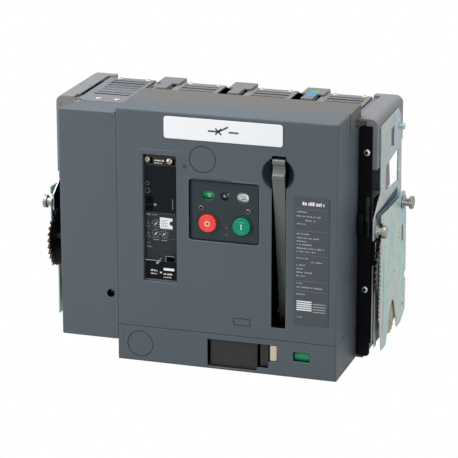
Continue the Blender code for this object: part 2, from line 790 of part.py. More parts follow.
def build_neutral_cover():
    """The cover of the fourth pole: its top slopes back to the chutes, and it opens to the main cover."""
    cover = block(
        "neutral_cover",
        (NEUTRAL_X[0], FACE_Y, NEUTRAL_Z[0]),
        (NEUTRAL_X[1], COVER_BACK, NEUTRAL_Z[1]),
        "grey_moulding",
        round_edges=("-y+z", "-x-y", "-y-z"),
        radius=COVER_RADIUS / 2,
    )
    slope = (NEUTRAL_Z[1] - NEUTRAL_REAR_TOP) / (NEUTRAL_NOTCH_Y - FACE_Y)
    over = (COVER_BACK + WALL, NEUTRAL_Z[1] - slope * (COVER_BACK + WALL - FACE_Y))
    wedge = [
        (FACE_Y + COVER_RADIUS, NEUTRAL_Z[1]),
        over,
        (over[0], NEUTRAL_Z[1] + WALL),
        (FACE_Y, NEUTRAL_Z[1] + WALL),
    ]
    width = (NEUTRAL_X[0] - WALL, NEUTRAL_X[1] + WALL)
    hollow_top = NEUTRAL_REAR_TOP - WALL
    screw_ends = (FACE_Y + WALL / 2, NEUTRAL_BOSS_BACK)
    cut(
        cover,
        sheet("neutral_slope", "X", [wedge], width),
        block(
            "neutral_hollow",
            (NEUTRAL_X[0] + WALL, FACE_Y + WALL, NEUTRAL_Z[0] + WALL),
            (NEUTRAL_X[1] + WALL, 0.0, hollow_top),
        ),
        block("neutral_notch", (width[0], NEUTRAL_NOTCH_Y, REAR_NOTCH_Z), (width[1], 0.0, COVER_TOP)),
    )
    join(cover, rod("neutral_boss", "Y", NEUTRAL_SCREW, screw_ends, NEUTRAL_BOSS_RADIUS, steps=SMALL_STEPS))
    bore_ends = (FACE_Y - WALL, NEUTRAL_BOSS_BACK - WALL)
    cut(cover, rod("neutral_bore", "Y", NEUTRAL_SCREW, bore_ends, NEUTRAL_SCREW_RADIUS, steps=SMALL_STEPS))


def build_mechanism_top():
    """The plate that closes the mechanism behind the main cover, stepped over the housing's lip."""
    step_y, step_z = TOP_PLATE_STEP
    sheet(
        "mechanism_top",
        "X",
        [
            [
                (TOP_PLATE_FRONT + GAP, TOP_PLATE_Z[0]),
                (step_y, TOP_PLATE_Z[0]),
                (step_y, step_z),
                (TOP_PLATE_BACK, step_z),
                (TOP_PLATE_BACK, TOP_PLATE_Z[1]),
                (TOP_PLATE_FRONT + GAP, TOP_PLATE_Z[1]),
            ]
        ],
        (COVER_X[0] + GAP, COVER_X[1] - GAP),
        "top_moulding",
    )


def cap_rounding(name, side):
    """A cutter that rounds the outer top edge of a side cap."""
    outer, top = side * CAP_X[1], CAP_TOP[1][2]
    centre = (outer - side * CAP_RADIUS, top - CAP_RADIUS)
    turns = [math.pi / 2 * step / CORNER_STEPS for step in range(CORNER_STEPS + 1)]
    arc = [
        (centre[0] + side * CAP_RADIUS * math.sin(turn), centre[1] + CAP_RADIUS * math.cos(turn))
        for turn in turns
    ]
    beyond = [(outer + side * WALL, centre[1]), (outer + side * WALL, top + WALL), (centre[0], top + WALL)]
    return sheet(name, "Y", [arc + beyond], (CAP_OUTLINE[0][0] - WALL, BARRIER_BACK + WALL))


def build_side_caps():
    """The moulded caps over the top of each side, with a rounded outer edge."""
    for side_name, side in SIDES.items():
        cap = sheet(f"side_cap_{side_name}", "X", [CAP_OUTLINE], mirrored(side, CAP_X), "grey_moulding")
        join(cap, box_on_side(f"cap_top_{side_name}", side, CAP_TOP))
        join(cap, box_on_side(f"cap_tab_{side_name}", side, CAP_REAR_TAB))
        cut(cap, box_on_side(f"cap_pocket_{side_name}", side, CAP_FLANGE_POCKET))
        cut(cap, box_on_side(f"cap_notch_{side_name}", side, CAP_TOP_NOTCH))
        cut(cap, cap_rounding(f"cap_rounding_{side_name}", side))
        if side < 0:
            join(cap, block("cap_leg_left", *LEFT_CAP_LEG))


def build_side_metalwork():
    """The flange, the zinc-plated plates and the rollers of each side."""
    for side_name, side in SIDES.items():
        corners = (
            (min(mirrored(side, FLANGE_X)), FLANGE_Z[0]),
            (max(mirrored(side, FLANGE_X)), FLANGE_Z[1]),
        )
        outline = rounded(corners, FLANGE_CORNER)
        sheet(f"mounting_flange_{side_name}", "Y", [outline], FLANGE_Y, "black_steel")
        inner_plate = sheet(
            f"side_plate_{side_name}",
            "X",
            [SIDE_PLATE_OUTLINE, SIDE_PLATE_WINDOW, SIDE_PLATE_SLOT],
            mirrored(side, SIDE_PLATE_X),
            "zinc",
        )
        ends = mirrored(side, RACKING_PLATE_X)
        plate = sheet(f"racking_plate_{side_name}", "X", [RACKING_PLATE_OUTLINE], ends, "zinc")
        if side < 0:
            through = (-RACKING_PLATE_X[0], -SIDE_PLATE_X[0] + WALL)
            cut(inner_plate, sheet("side_relief_left", "X", [LEFT_SIDE_RELIEF], through))
            cut(plate, block("racking_relief_left", *LEFT_RACKING_RELIEF))
        ends = mirrored(side, (SIDE_PLATE_X[1], FRONT_ROLLER[1]))
        place = FRONT_ROLLER[2:]
        cut(plate, rod(f"roller_recess_{side_name}", "X", place, ends, ROLLER_RECESS, steps=SMALL_STEPS))
        for place, (inner, outer, depth, height) in (("front", FRONT_ROLLER), ("rear", REAR_ROLLER)):
            neck, head = ROLLER_RADII
            profile = [
                (side * inner, head),
                (side * (inner + ROLLER_FLANGE), head),
                (side * (inner + ROLLER_FLANGE + GAP), neck),
                (side * (outer - ROLLER_HEAD - GAP), neck),
                (side * (outer - ROLLER_HEAD), head - GAP),
                (side * (outer - GAP), head - GAP),
                (side * outer, head - 3 * GAP),
            ]
            turned(f"roller_{place}_{side_name}", "X", (depth, height), profile, "steel", steps=SMALL_STEPS)


def build_racking_drive():
    """The cross shaft with a ratchet gear at each end, and a cam on each side."""
    rod("racking_shaft", "X", GEAR_AXIS, (-DRIVE_END, DRIVE_END), DRIVE_RADIUS, "steel", steps=SMALL_STEPS)
    for side_name, side in SIDES.items():
        bore = circle(GEAR_AXIS, DRIVE_RADIUS + GAP, SMALL_STEPS)
        outline = toothed(GEAR_AXIS, GEAR_RADII, GEAR_TEETH)
        pivot = (side * GEAR_X[0], *GEAR_AXIS)
        ends = mirrored(side, GEAR_X)
        sheet(f"racking_gear_{side_name}", "X", [outline, bore], ends, "black_steel", pivot)
        pivot = (side * GEAR_X[0], *CAM_AXIS)
        outline = toothed(CAM_AXIS, CAM_RADII, CAM_TEETH)
        cam = sheet(f"interlock_cam_{side_name}", "X", [outline], mirrored(side, GEAR_X), "brass", pivot)
        ends = mirrored(side, (CAM_STUB[0], GEAR_X[0] + GAP))
        join(cam, rod(f"cam_stub_{side_name}", "X", CAM_AXIS, ends, CAM_STUB[1], steps=SMALL_STEPS))


def build_racking_controls():
    """What is behind the strip's windows: crank socket, shutter, release lever and position drum."""
    socket = rod("crank_socket", "Y", CRANK_AXIS, CRANK_Y, CRANK_RADIUS, "steel", steps=SMALL_STEPS)
    square = [
        (CRANK_AXIS[0] - CRANK_SQUARE, CRANK_Y[0] - WALL, CRANK_AXIS[1] - CRANK_SQUARE),
        (CRANK_AXIS[0] + CRANK_SQUARE, CRANK_Y[0] + CRANK_SOCKET_DEPTH, CRANK_AXIS[1] + CRANK_SQUARE),
    ]
    cut(socket, block("crank_square", *square))
    (left, bottom), (right, top) = SHUTTER
    block("racking_shutter", (left, SHUTTER_Y[0], bottom), (right, SHUTTER_Y[1], top), "black_moulding")
    block(
        "release_lever",
        (LEVER_X[0], LEVER_Y[0], LEVER_Z[0]),
        (LEVER_X[1], LEVER_Y[1], LEVER_Z[1]),
        "brass",
        round_edges=("+x-y", "-x-y"),
        radius=LEVER_RADIUS,
        segments=4,
    )
    rod("position_drum", "X", INDICATOR_AXIS, INDICATOR_X, INDICATOR_RADIUS, "green")


def build_control_panel():
    """The recessed panel with holes for two buttons and windows for three flags."""
    height = FLAG_AXIS[1]
    windows = [
        circle(OFF_BUTTON, BUTTON_HOLE),
        circle(ON_BUTTON, BUTTON_HOLE),
        stadium((CONTACT_WINDOW[0], height), *CONTACT_WINDOW[1:]),
        circle((READY_WINDOW[0], height), READY_WINDOW[1], SMALL_STEPS),
        stadium((SPRING_WINDOW[0], height), *SPRING_WINDOW[1:]),
    ]
    outline = rounded(grown(PANEL_OPENING, -TRIP_INSET), PANEL_CORNER - TRIP_INSET)
    sheet("control_panel", "Y", [outline, *windows], PANEL_Y, "panel")


def build_buttons():
    """The OFF and ON buttons: turned caps with a collar behind the panel and a stem."""
    (collar_front, collar_back), collar = BUTTON_COLLAR
    stem_back, stem = BUTTON_STEM
    profile = [
        (BUTTON_FRONT, BUTTON_RADIUS - 2 * GAP),
        (BUTTON_FRONT + GAP, BUTTON_RADIUS - GAP / 2),
        (BUTTON_FRONT + 2 * GAP, BUTTON_RADIUS),
        (collar_front, BUTTON_RADIUS),
        (collar_front, collar),
        (collar_back, collar),
        (collar_back, stem),
        (stem_back, stem),
    ]
    for name, centre, finish in (("off_button", OFF_BUTTON, "red"), ("on_button", ON_BUTTON, "green")):
        turned(name, "Y", centre, profile, finish)


def build_flags():
    """The three drums that show a flag in the panel's windows, on one axis."""
    flags = (
        ("contact_flag", CONTACT_WINDOW, "green"),
        ("ready_flag", READY_WINDOW, "black_moulding"),
        ("spring_flag", SPRING_WINDOW, "white"),
    )
    for name, (centre, half_width, _), finish in flags:
        reach = half_width + FLAG_OVERLAP
        rod(name, "X", FLAG_AXIS, (centre - reach, centre + reach), FLAG_RADIUS, finish)


def build_charging_handle():
    """The spring charging handle on its pin, with the ratchet wheel that it turns."""
    hub = circle(HANDLE_PIVOT, HANDLE_HUB)[CIRCLE_STEPS // 2 :]
    outline = [*hub, *reversed(HANDLE_BACK), *reversed(HANDLE_FRONT)]
    bore = circle(HANDLE_PIVOT, HANDLE_BORE, SMALL_STEPS)
    pivot = (HANDLE_X[0], *HANDLE_PIVOT)
    sheet("charging_handle", "X", [outline, bore], HANDLE_X, "handle_metal", pivot)
    start, stop, radius = PIVOT_PIN
    rod("handle_pin", "X", HANDLE_PIVOT, (start, stop), radius, "steel", steps=SMALL_STEPS)
    outline = toothed(HANDLE_PIVOT, RATCHET_RADII, RATCHET_TEETH)
    pivot = (RATCHET_X[0], *HANDLE_PIVOT)
    sheet("charging_ratchet", "X", [outline, bore], RATCHET_X, "steel", pivot)


def build_trip_unit():
    """The electronic trip unit with three dials under a clear cover hinged at its top edge."""
    (left, bottom), (right, top) = grown(TRIP_OPENING, -TRIP_INSET)
    unit = block("trip_unit", (left, TRIP_FRONT, bottom), (right, TRIP_BACK, top), "trip_black")
    for index, centre in enumerate(DIAL_CENTRES, 1):
        radius, floor = DIAL_WELL
        ends = (TRIP_FRONT - WALL, floor)
        cut(unit, rod(f"dial_well_{index}", "Y", centre, ends, radius, steps=SMALL_STEPS))
        rod(f"trip_dial_{index}", "Y", centre, DIAL_Y, DIAL_RADIUS, "white", steps=SMALL_STEPS)
    (left, bottom), (right, top) = TRIP_COVER
    hinge = ((TRIP_COVER_Y[0] + TRIP_COVER_Y[1]) / 2, top)
    cover = block(
        "trip_cover",
        (left, TRIP_COVER_Y[0], bottom),
        (right, TRIP_COVER_Y[1], top),
        "clear_cover",
        pivot=((left + right) / 2, *hinge),
    )
    join(cover, rod("trip_cover_hinge", "X", hinge, (left, right), TRIP_HINGE_RADIUS, steps=SMALL_STEPS))


def build_front_plates():
    """The blank nameplate and the rating label."""
    sheet("nameplate", "Y", [rounded(NAMEPLATE, PLATE_CORNER)], NAMEPLATE_Y, "white")
    sheet("rating_label", "Y", [rounded(LABEL, PLATE_CORNER / 4)], LABEL_Y, "label")


def shade_round_pieces():
    """Shade every piece smooth, apart from its sharp edges."""
    for obj in collection("air_circuit_breaker").objects:
        obj.data.shade_smooth()
        obj.data.set_sharp_from_angle(angle=SHARP_ANGLE)


def main():
    """Build the breaker, from the housing outwards."""
    clear_scene()
    build_rear_housing()
    build_arc_chutes()
    build_conductors()
    build_moving_contacts()
    build_pole_shaft()
    build_front_cover()
    build_racking_cover()
    build_neutral_cover()
    build_mechanism_top()
    build_side_caps()
    build_side_metalwork()
    build_racking_drive()
    build_racking_controls()
    build_control_panel()
    build_buttons()
    build_flags()
    build_charging_handle()
    build_trip_unit()
    build_front_plates()
    shade_round_pieces()


main()
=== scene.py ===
"""Looks of a four-pole withdrawable air circuit breaker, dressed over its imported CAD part.

Every length is in metres in the part's own frame: +Z up, the operating face towards -Y.
"""

import sys

import json
import logging
import math
from dataclasses import dataclass
from enum import Enum
from typing import Any

import bmesh
import bpy
import numpy as np
from mathutils import Matrix, Vector
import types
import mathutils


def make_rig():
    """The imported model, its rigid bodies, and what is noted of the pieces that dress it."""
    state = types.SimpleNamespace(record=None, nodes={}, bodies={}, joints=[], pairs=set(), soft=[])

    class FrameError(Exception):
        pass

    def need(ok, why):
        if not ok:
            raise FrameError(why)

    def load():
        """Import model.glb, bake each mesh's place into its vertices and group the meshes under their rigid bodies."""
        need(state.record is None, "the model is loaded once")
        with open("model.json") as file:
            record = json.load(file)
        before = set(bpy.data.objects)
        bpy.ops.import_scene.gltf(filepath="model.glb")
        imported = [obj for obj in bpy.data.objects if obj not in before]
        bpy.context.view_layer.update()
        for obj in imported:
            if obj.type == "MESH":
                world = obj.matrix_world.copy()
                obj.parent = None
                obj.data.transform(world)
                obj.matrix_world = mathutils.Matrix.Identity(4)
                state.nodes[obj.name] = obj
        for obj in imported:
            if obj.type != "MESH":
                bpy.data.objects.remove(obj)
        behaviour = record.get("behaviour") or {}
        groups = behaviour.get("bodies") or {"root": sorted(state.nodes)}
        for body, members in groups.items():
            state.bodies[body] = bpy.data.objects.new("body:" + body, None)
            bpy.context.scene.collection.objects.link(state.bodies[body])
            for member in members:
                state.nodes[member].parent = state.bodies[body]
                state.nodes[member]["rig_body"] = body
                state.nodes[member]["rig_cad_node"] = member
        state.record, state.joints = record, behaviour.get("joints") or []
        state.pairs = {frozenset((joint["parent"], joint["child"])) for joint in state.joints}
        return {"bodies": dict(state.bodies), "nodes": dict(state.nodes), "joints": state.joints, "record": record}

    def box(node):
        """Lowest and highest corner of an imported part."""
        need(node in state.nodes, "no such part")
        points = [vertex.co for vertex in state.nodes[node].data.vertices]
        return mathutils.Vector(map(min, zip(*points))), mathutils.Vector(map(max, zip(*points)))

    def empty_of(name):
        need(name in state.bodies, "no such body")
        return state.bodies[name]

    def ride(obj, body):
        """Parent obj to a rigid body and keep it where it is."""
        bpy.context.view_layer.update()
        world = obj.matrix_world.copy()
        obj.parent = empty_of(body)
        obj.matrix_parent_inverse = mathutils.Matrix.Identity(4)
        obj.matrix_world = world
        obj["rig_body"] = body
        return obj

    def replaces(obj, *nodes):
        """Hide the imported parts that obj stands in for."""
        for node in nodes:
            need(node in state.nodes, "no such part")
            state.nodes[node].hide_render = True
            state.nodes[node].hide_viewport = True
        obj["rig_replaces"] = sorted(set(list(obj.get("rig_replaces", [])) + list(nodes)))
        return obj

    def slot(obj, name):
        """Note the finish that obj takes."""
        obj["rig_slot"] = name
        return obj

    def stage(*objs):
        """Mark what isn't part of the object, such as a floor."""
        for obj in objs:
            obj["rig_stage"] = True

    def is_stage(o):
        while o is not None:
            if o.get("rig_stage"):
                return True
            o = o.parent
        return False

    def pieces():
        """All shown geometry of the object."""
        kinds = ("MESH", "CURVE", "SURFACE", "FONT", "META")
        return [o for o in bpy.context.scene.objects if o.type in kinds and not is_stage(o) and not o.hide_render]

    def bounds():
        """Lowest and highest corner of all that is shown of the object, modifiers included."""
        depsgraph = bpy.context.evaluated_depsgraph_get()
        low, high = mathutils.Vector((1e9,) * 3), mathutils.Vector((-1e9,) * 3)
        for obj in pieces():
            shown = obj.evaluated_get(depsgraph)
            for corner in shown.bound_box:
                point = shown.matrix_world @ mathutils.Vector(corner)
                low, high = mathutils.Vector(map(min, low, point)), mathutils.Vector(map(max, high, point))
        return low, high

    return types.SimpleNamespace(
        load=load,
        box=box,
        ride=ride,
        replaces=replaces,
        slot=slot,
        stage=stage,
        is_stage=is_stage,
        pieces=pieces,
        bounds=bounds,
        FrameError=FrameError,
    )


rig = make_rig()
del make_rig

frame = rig.load()
CAD_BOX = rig.bounds()

logging.basicConfig(level=logging.INFO, format="%(message)s")
LOG = logging.getLogger("breaker")

MM = 0.001
PRINT_DEPTH = 0.12 * MM
BREAKER = "breaker"
FACE_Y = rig.box("front_cover")[0].y
POLES = tuple((i - 1.5) * 115 * MM for i in range(4))
MERGE = 1e-6
SHARP = math.radians(35)
Pair = tuple[float, float]
Triple = tuple[float, float, float]
Row = tuple[float, float, float, float]


def mm(*lengths: float) -> tuple[Any, ...]:
    """Lengths given in millimetres."""
    return tuple(length * MM for length in lengths)


# ---------------------------------------------------------------- shapes


class Axis(Enum):
    """The direction that an outline is carried along."""

    X = 0
    Y = 1
    Z = 2

    def place(self, across: np.ndarray, along: np.ndarray | float) -> np.ndarray:
        """Turn flat outlines into points of space.

        Args:
            across: Array ending in two columns, the other two coordinates in X, Y, Z order.
            along: Distance along this axis, of a shape that spreads over the rest of across.

        Returns:
            The same array with three columns.
        """
        columns = [across[..., 0], across[..., 1]]
        columns.insert(self.value, np.broadcast_to(along, across.shape[:-1]))
        return np.stack(columns, axis=-1)


def circle(centre: Pair, radius: float, steps: int = 48) -> np.ndarray:
    """Points centre + radius (cos t, sin t), for t once round."""
    t = np.linspace(0, 2 * math.pi, steps, endpoint=False)
    return np.array(centre) + radius * np.stack([np.cos(t), np.sin(t)], axis=-1)


def rounded(low: Pair, high: Pair, radius: float, steps: int = 6) -> np.ndarray:
    """A rectangle whose corners are quarter circles of a radius, one after another."""
    low, high = np.array(low), np.array(high)
    t = np.linspace(0, math.pi / 2, steps + 1) + math.pi / 2 * np.arange(4)[:, None]
    side = np.array([[1, 1], [-1, 1], [-1, -1], [1, -1]])
    centres = (low + high) / 2 + side * ((high - low) / 2 - radius)
    ring = centres[:, None] + radius * np.stack([np.cos(t), np.sin(t)], axis=-1)
    return ring.reshape(-1, 2)


def inward(outline: np.ndarray) -> np.ndarray:
    """Each corner's move that shifts both of its edges inwards by one unit.

    The sum of the two edges' inward normals, divided by one plus their dot product.
    """
    ahead = np.roll(outline, -1, axis=0) - outline
    ahead /= np.linalg.norm(ahead, axis=1, keepdims=True)
    area = (outline[:, 0] * np.roll(outline[:, 1], -1) - outline[:, 1] * np.roll(outline[:, 0], -1)).sum()
    normal = math.copysign(1, area) * np.stack([-ahead[:, 1], ahead[:, 0]], axis=-1)
    before = np.roll(normal, 1, axis=0)
    return (normal + before) / (1 + (normal * before).sum(axis=1, keepdims=True)).clip(0.2)


class Shape:
    """Closed surfaces held as points and faces, with their faces outwards."""

    def __init__(self, points: np.ndarray, faces: list[list[int]]) -> None:
        """Keep the points and the faces.

        Args:
            points: Array of points, three columns.
            faces: Rings of point numbers.
        """
        self.points = points
        self.faces = faces

    @classmethod
    def lofted(cls, rings: np.ndarray, wrapped: bool = False) -> "Shape":
        """Join closed rings in order, with a flat cap at each end or the last joined to the first.

        Args:
            rings: Array of rings by points by three.
            wrapped: Whether the last ring joins the first.

        Returns:
            The shape, turned so that its volume is positive.
        """
        count, around = rings.shape[:2]
        points = rings.reshape(-1, 3)
        index = np.arange(count * around).reshape(count, around)
        first, second = (index, np.roll(index, -1, axis=0)) if wrapped else (index[:-1], index[1:])
        beside = (np.roll(first, -1, axis=1), np.roll(second, -1, axis=1))
        quads = np.stack([first, beside[0], beside[1], second], axis=-1).reshape(-1, 4)
        a, b, c, d = (points[quads[:, corner]] for corner in range(4))
        volume = (np.cross(a, b) * c).sum() + (np.cross(a, c) * d).sum()
        faces = quads.tolist()
        if not wrapped:
            for ring in (index[0][::-1], index[-1]):
                rim = points[ring]
                volume += (np.cross(rim, np.roll(rim, -1, axis=0)) @ rim[0]).sum()
                faces.append(ring.tolist())
        if volume < 0:
            faces = [face[::-1] for face in faces]
        return cls(points, faces)

    @classmethod
    def prism(
        cls,
        outline: np.ndarray,
        axis: Axis,
        ends: Pair,
        edge: float = 0.0,
        steps: int = 3,
    ) -> "Shape":
        """Carry an outline along an axis, with both rims rounded.

        Near an end, the ring at turn t is moved in by edge (1 - sin t), along by edge (1 - cos t).

        Args:
            outline: Corners across the axis.
            axis: Direction to carry it along.
            ends: Where it starts and stops.
            edge: Radius of the rims.
            steps: Rings in each rim.

        Returns:
            The shape.
        """
        outline = np.asarray(outline, float)
        turn = np.linspace(0, math.pi / 2, steps + 1) if edge else np.array([math.pi / 2])
        inset = edge * (1 - np.sin(turn))
        travel = edge * (1 - np.cos(turn))
        low, high = sorted(ends)
        insets = np.concatenate([inset, inset[::-1]])
        along = np.concatenate([low + travel, high - travel[::-1]])
        rings = outline[None] + insets[:, None, None] * inward(outline)[None]
        return cls.lofted(axis.place(rings, along[:, None]))

    @classmethod
    def block(
        cls,
        low: tuple[float, ...],
        high: tuple[float, ...],
        edge: float = 0.4 * MM,
        axis: Axis = Axis.Y,
    ) -> "Shape":
        """A box with every edge rounded: a rounded rectangle carried along an axis."""
        keep = [i for i in range(3) if i != axis.value]
        small = tuple(low[i] for i in keep), tuple(high[i] for i in keep)
        ends = (low[axis.value], high[axis.value])
        return cls.prism(rounded(*small, edge, 3), axis, ends, edge)

    @classmethod
    def lathe(
        cls,
        profile: list[Pair],
        axis: Axis,
        centre: Pair,
        steps: int = 48,
        wrapped: bool = False,
    ) -> "Shape":
        """Turn a profile: at each distance d, a circle of radius r(d) about the axis.

        Args:
            profile: Rows of distance along the axis and radius.
            axis: The axis of turning.
            centre: Where the axis crosses the other two directions.
            steps: Points round each circle.
            wrapped: Whether the profile closes on itself, as a ring's does.

        Returns:
            The shape.
        """
        rows = np.asarray(profile, float)
        unit = circle((0.0, 0.0), 1.0, steps)
        rings = np.array(centre) + rows[:, 1, None, None] * unit[None]
        return cls.lofted(axis.place(rings, rows[:, 0, None]), wrapped)

    @classmethod
    def band(
        cls, outer: np.ndarray, inner: np.ndarray, axis: Axis, ends: Pair, edge: float = 0.0
    ) -> "Shape":
        """A flat frame between two outlines of equal length, both rims bevelled at the start."""
        start, stop = ends
        lip = math.copysign(edge, stop - start)
        rings = [
            axis.place(outer + edge * inward(outer), start),
            axis.place(outer, start + lip),
            axis.place(outer, stop),
            axis.place(inner, stop),
            axis.place(inner, start + lip),
            axis.place(inner - edge * inward(inner), start),
        ]
        return cls.lofted(np.array(rings if edge else rings[1:5]), wrapped=True)

    @classmethod
    def tube(cls, path: np.ndarray, radius: float | np.ndarray, steps: int = 12) -> "Shape":
        """Carry a circle along a path, square to its tangent.

        Args:
            path: Points of the middle line.
            radius: The circle's radius, one for all or one a point.
            steps: Points round the circle.

        Returns:
            The shape.
        """
        path = np.asarray(path, float)
        tangent = np.gradient(path, axis=0)
        tangent /= np.linalg.norm(tangent, axis=1, keepdims=True)
        spread = path.max(axis=0) - path.min(axis=0)
        guide = np.eye(3)[int(np.argmin(spread))]
        side = np.cross(tangent, guide)
        side /= np.linalg.norm(side, axis=1, keepdims=True)
        up = np.cross(side, tangent)
        unit = circle((0.0, 0.0), 1.0, steps)
        width = np.broadcast_to(radius, len(path))[:, None, None]
        rings = path[:, None] + width * (
            unit[None, :, :1] * side[:, None] + unit[None, :, 1:] * up[:, None]
        )
        return cls.lofted(rings)

    @classmethod
    def sheet(cls, front: np.ndarray, thickness: float, flipped: bool = False) -> "Shape":
        """A grid of points made a thin sheet, its back the same grid moved along +Y.

        Args:
            front: Array of rows by columns by three.
            thickness: How far behind the back lies.
            flipped: Whether to turn every face round.

        Returns:
            The closed sheet.
        """
        rows, columns = front.shape[:2]
        back = front + (0.0, thickness, 0.0)
        index = np.arange(rows * columns).reshape(rows, columns)
        quads = np.stack(
            [index[:-1, :-1], index[:-1, 1:], index[1:, 1:], index[1:, :-1]], axis=-1
        ).reshape(-1, 4)
        rim = np.concatenate([index[0, :-1], index[:-1, -1], index[-1, :0:-1], index[:0:-1, 0]])
        ahead = np.roll(rim, -1)
        shift = rows * columns
        walls = np.stack([rim, rim + shift, ahead + shift, ahead], axis=-1)
        faces = np.concatenate([quads, quads[:, ::-1] + shift, walls])
        if flipped:
            faces = faces[:, ::-1]
        return cls(np.concatenate([front.reshape(-1, 3), back.reshape(-1, 3)]), faces.tolist())

    @classmethod
    def slabs(cls, lows: np.ndarray, highs: np.ndarray) -> "Shape":
        """Plain thin boxes between two lists of corners, such as printed marks."""
        lows, highs = np.asarray(lows, float), np.asarray(highs, float)
        corner = np.array([[i & 1, i >> 1 & 1, i >> 2 & 1] for i in range(8)])
        points = lows[:, None] + corner[None] * (highs - lows)[:, None]
        sides = np.array(
            [[0, 2, 3, 1], [4, 5, 7, 6], [0, 1, 5, 4], [2, 6, 7, 3], [0, 4, 6, 2], [1, 3, 7, 5]]
        )
        faces = (8 * np.arange(len(lows))[:, None, None] + sides).reshape(-1, 4)
        return cls(points.reshape(-1, 3), faces.tolist())

    def __add__(self, other: "Shape") -> "Shape":
        """Both shapes as one."""
        shift = len(self.points)
        moved = [[corner + shift for corner in face] for face in other.faces]
        return Shape(np.concatenate([self.points, other.points]), self.faces + moved)

    def turned(self, degrees: float, axis: Axis, about: Triple) -> "Shape":
        """The shape turned about a line along an axis, by the right-hand rule."""
        matrix = np.array(Matrix.Rotation(math.radians(degrees), 3, axis.name))
        return Shape((self.points - about) @ matrix.T + about, self.faces)

    def mirrored(self) -> "Shape":
        """The shape on the other side of the middle plane."""
        return Shape(self.points * (-1, 1, 1), [face[::-1] for face in self.faces])

    def object(self, name: str) -> bpy.types.Object:
        """The shape as a mesh object of the scene, that rides on nothing yet."""
        mesh = bpy.data.meshes.new(name)
        mesh.from_pydata(self.points.tolist(), [], self.faces)
        mesh.update()
        obj = bpy.data.objects.new(name, mesh)
        bpy.context.scene.collection.objects.link(obj)
        return obj

    def make(self, name: str, finish: "Finish", body: str = BREAKER, *nodes: str) -> bpy.types.Object:
        """Add the shape to the model.

        Args:
            name: The piece's name.
            finish: What it is made of.
            body: The CAD body that it rides on.
            nodes: CAD nodes that it stands for.

        Returns:
            The piece.
        """
        obj = self.object(name)
        return settle(obj, finish, body, nodes)


def total(shapes: list[Shape]) -> Shape:
    """Every shape of a list as one."""
    joined = shapes[0]
    for shape in shapes[1:]:
        joined = joined + shape
    return joined


def settle(
    obj: bpy.types.Object, finish: "Finish", body: str, nodes: tuple[str, ...] = ()
) -> bpy.types.Object:
    """Shade a piece, give it its finish and let it ride on its body."""
    obj.data.shade_smooth()
    obj.data.set_sharp_from_angle(angle=SHARP)
    weighted = obj.modifiers.new("even_normals", "WEIGHTED_NORMAL")
    weighted.keep_sharp = True
    obj.data.materials.clear()
    obj.data.materials.append(finish.material())
    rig.ride(obj, body)
    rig.slot(obj, finish.slot)
    if nodes:
        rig.replaces(obj, *nodes)
    LOG.info("%s rides on %s", obj.name, body)
    return obj


def dress(finish: "Finish", *nodes: str) -> None:
    """Give CAD nodes that keep their shape a finish."""
    for node in nodes:
        obj = frame["nodes"][node]
        obj.data.materials.clear()
        obj.data.materials.append(finish.material())


def refined(
    node: str,
    finish: "Finish",
    edge: float = 0.4 * MM,
    cutters: tuple[Shape, ...] = (),
    segments: int = 2,
) -> bpy.types.Object:
    """Stand in for a CAD node with a copy whose sharp edges are rounded, and cut grooves into it.

    Args:
        node: The CAD node.
        finish: What it is made of.
        edge: Width of the rounding.
        cutters: Shapes to cut away.
        segments: Faces across the rounding.

    Returns:
        The piece.
    """
    source = frame["nodes"][node]
    mesh = source.data.copy()
    shape = bmesh.new()
    shape.from_mesh(mesh)
    bmesh.ops.remove_doubles(shape, verts=shape.verts, dist=MERGE)
    bmesh.ops.dissolve_limit(shape, angle_limit=math.radians(0.5), verts=shape.verts, edges=shape.edges)
    shape.to_mesh(mesh)
    shape.free()
    obj = bpy.data.objects.new(node + "_piece", mesh)
    bpy.context.scene.collection.objects.link(obj)
    bevel = obj.modifiers.new("rounded_edges", "BEVEL")
    bevel.width = edge
    bevel.segments = segments
    bevel.limit_method = "ANGLE"
    bevel.angle_limit = math.radians(40)
    bevel.use_clamp_overlap = False
    helpers = [cutter.object(f"cutter_{i}") for i, cutter in enumerate(cutters)]
    for helper in helpers:
        cut = obj.modifiers.new(helper.name, "BOOLEAN")
        cut.solver = "EXACT"
        cut.object = helper
    bpy.context.view_layer.update()
    graph = bpy.context.evaluated_depsgraph_get()
    finished = bpy.data.meshes.new_from_object(obj.evaluated_get(graph))
    obj.modifiers.clear()
    obj.data = finished
    for helper in helpers:
        bpy.data.objects.remove(helper, do_unlink=True)
    return settle(obj, finish, source["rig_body"], (node,))


# ---------------------------------------------------------------- finishes


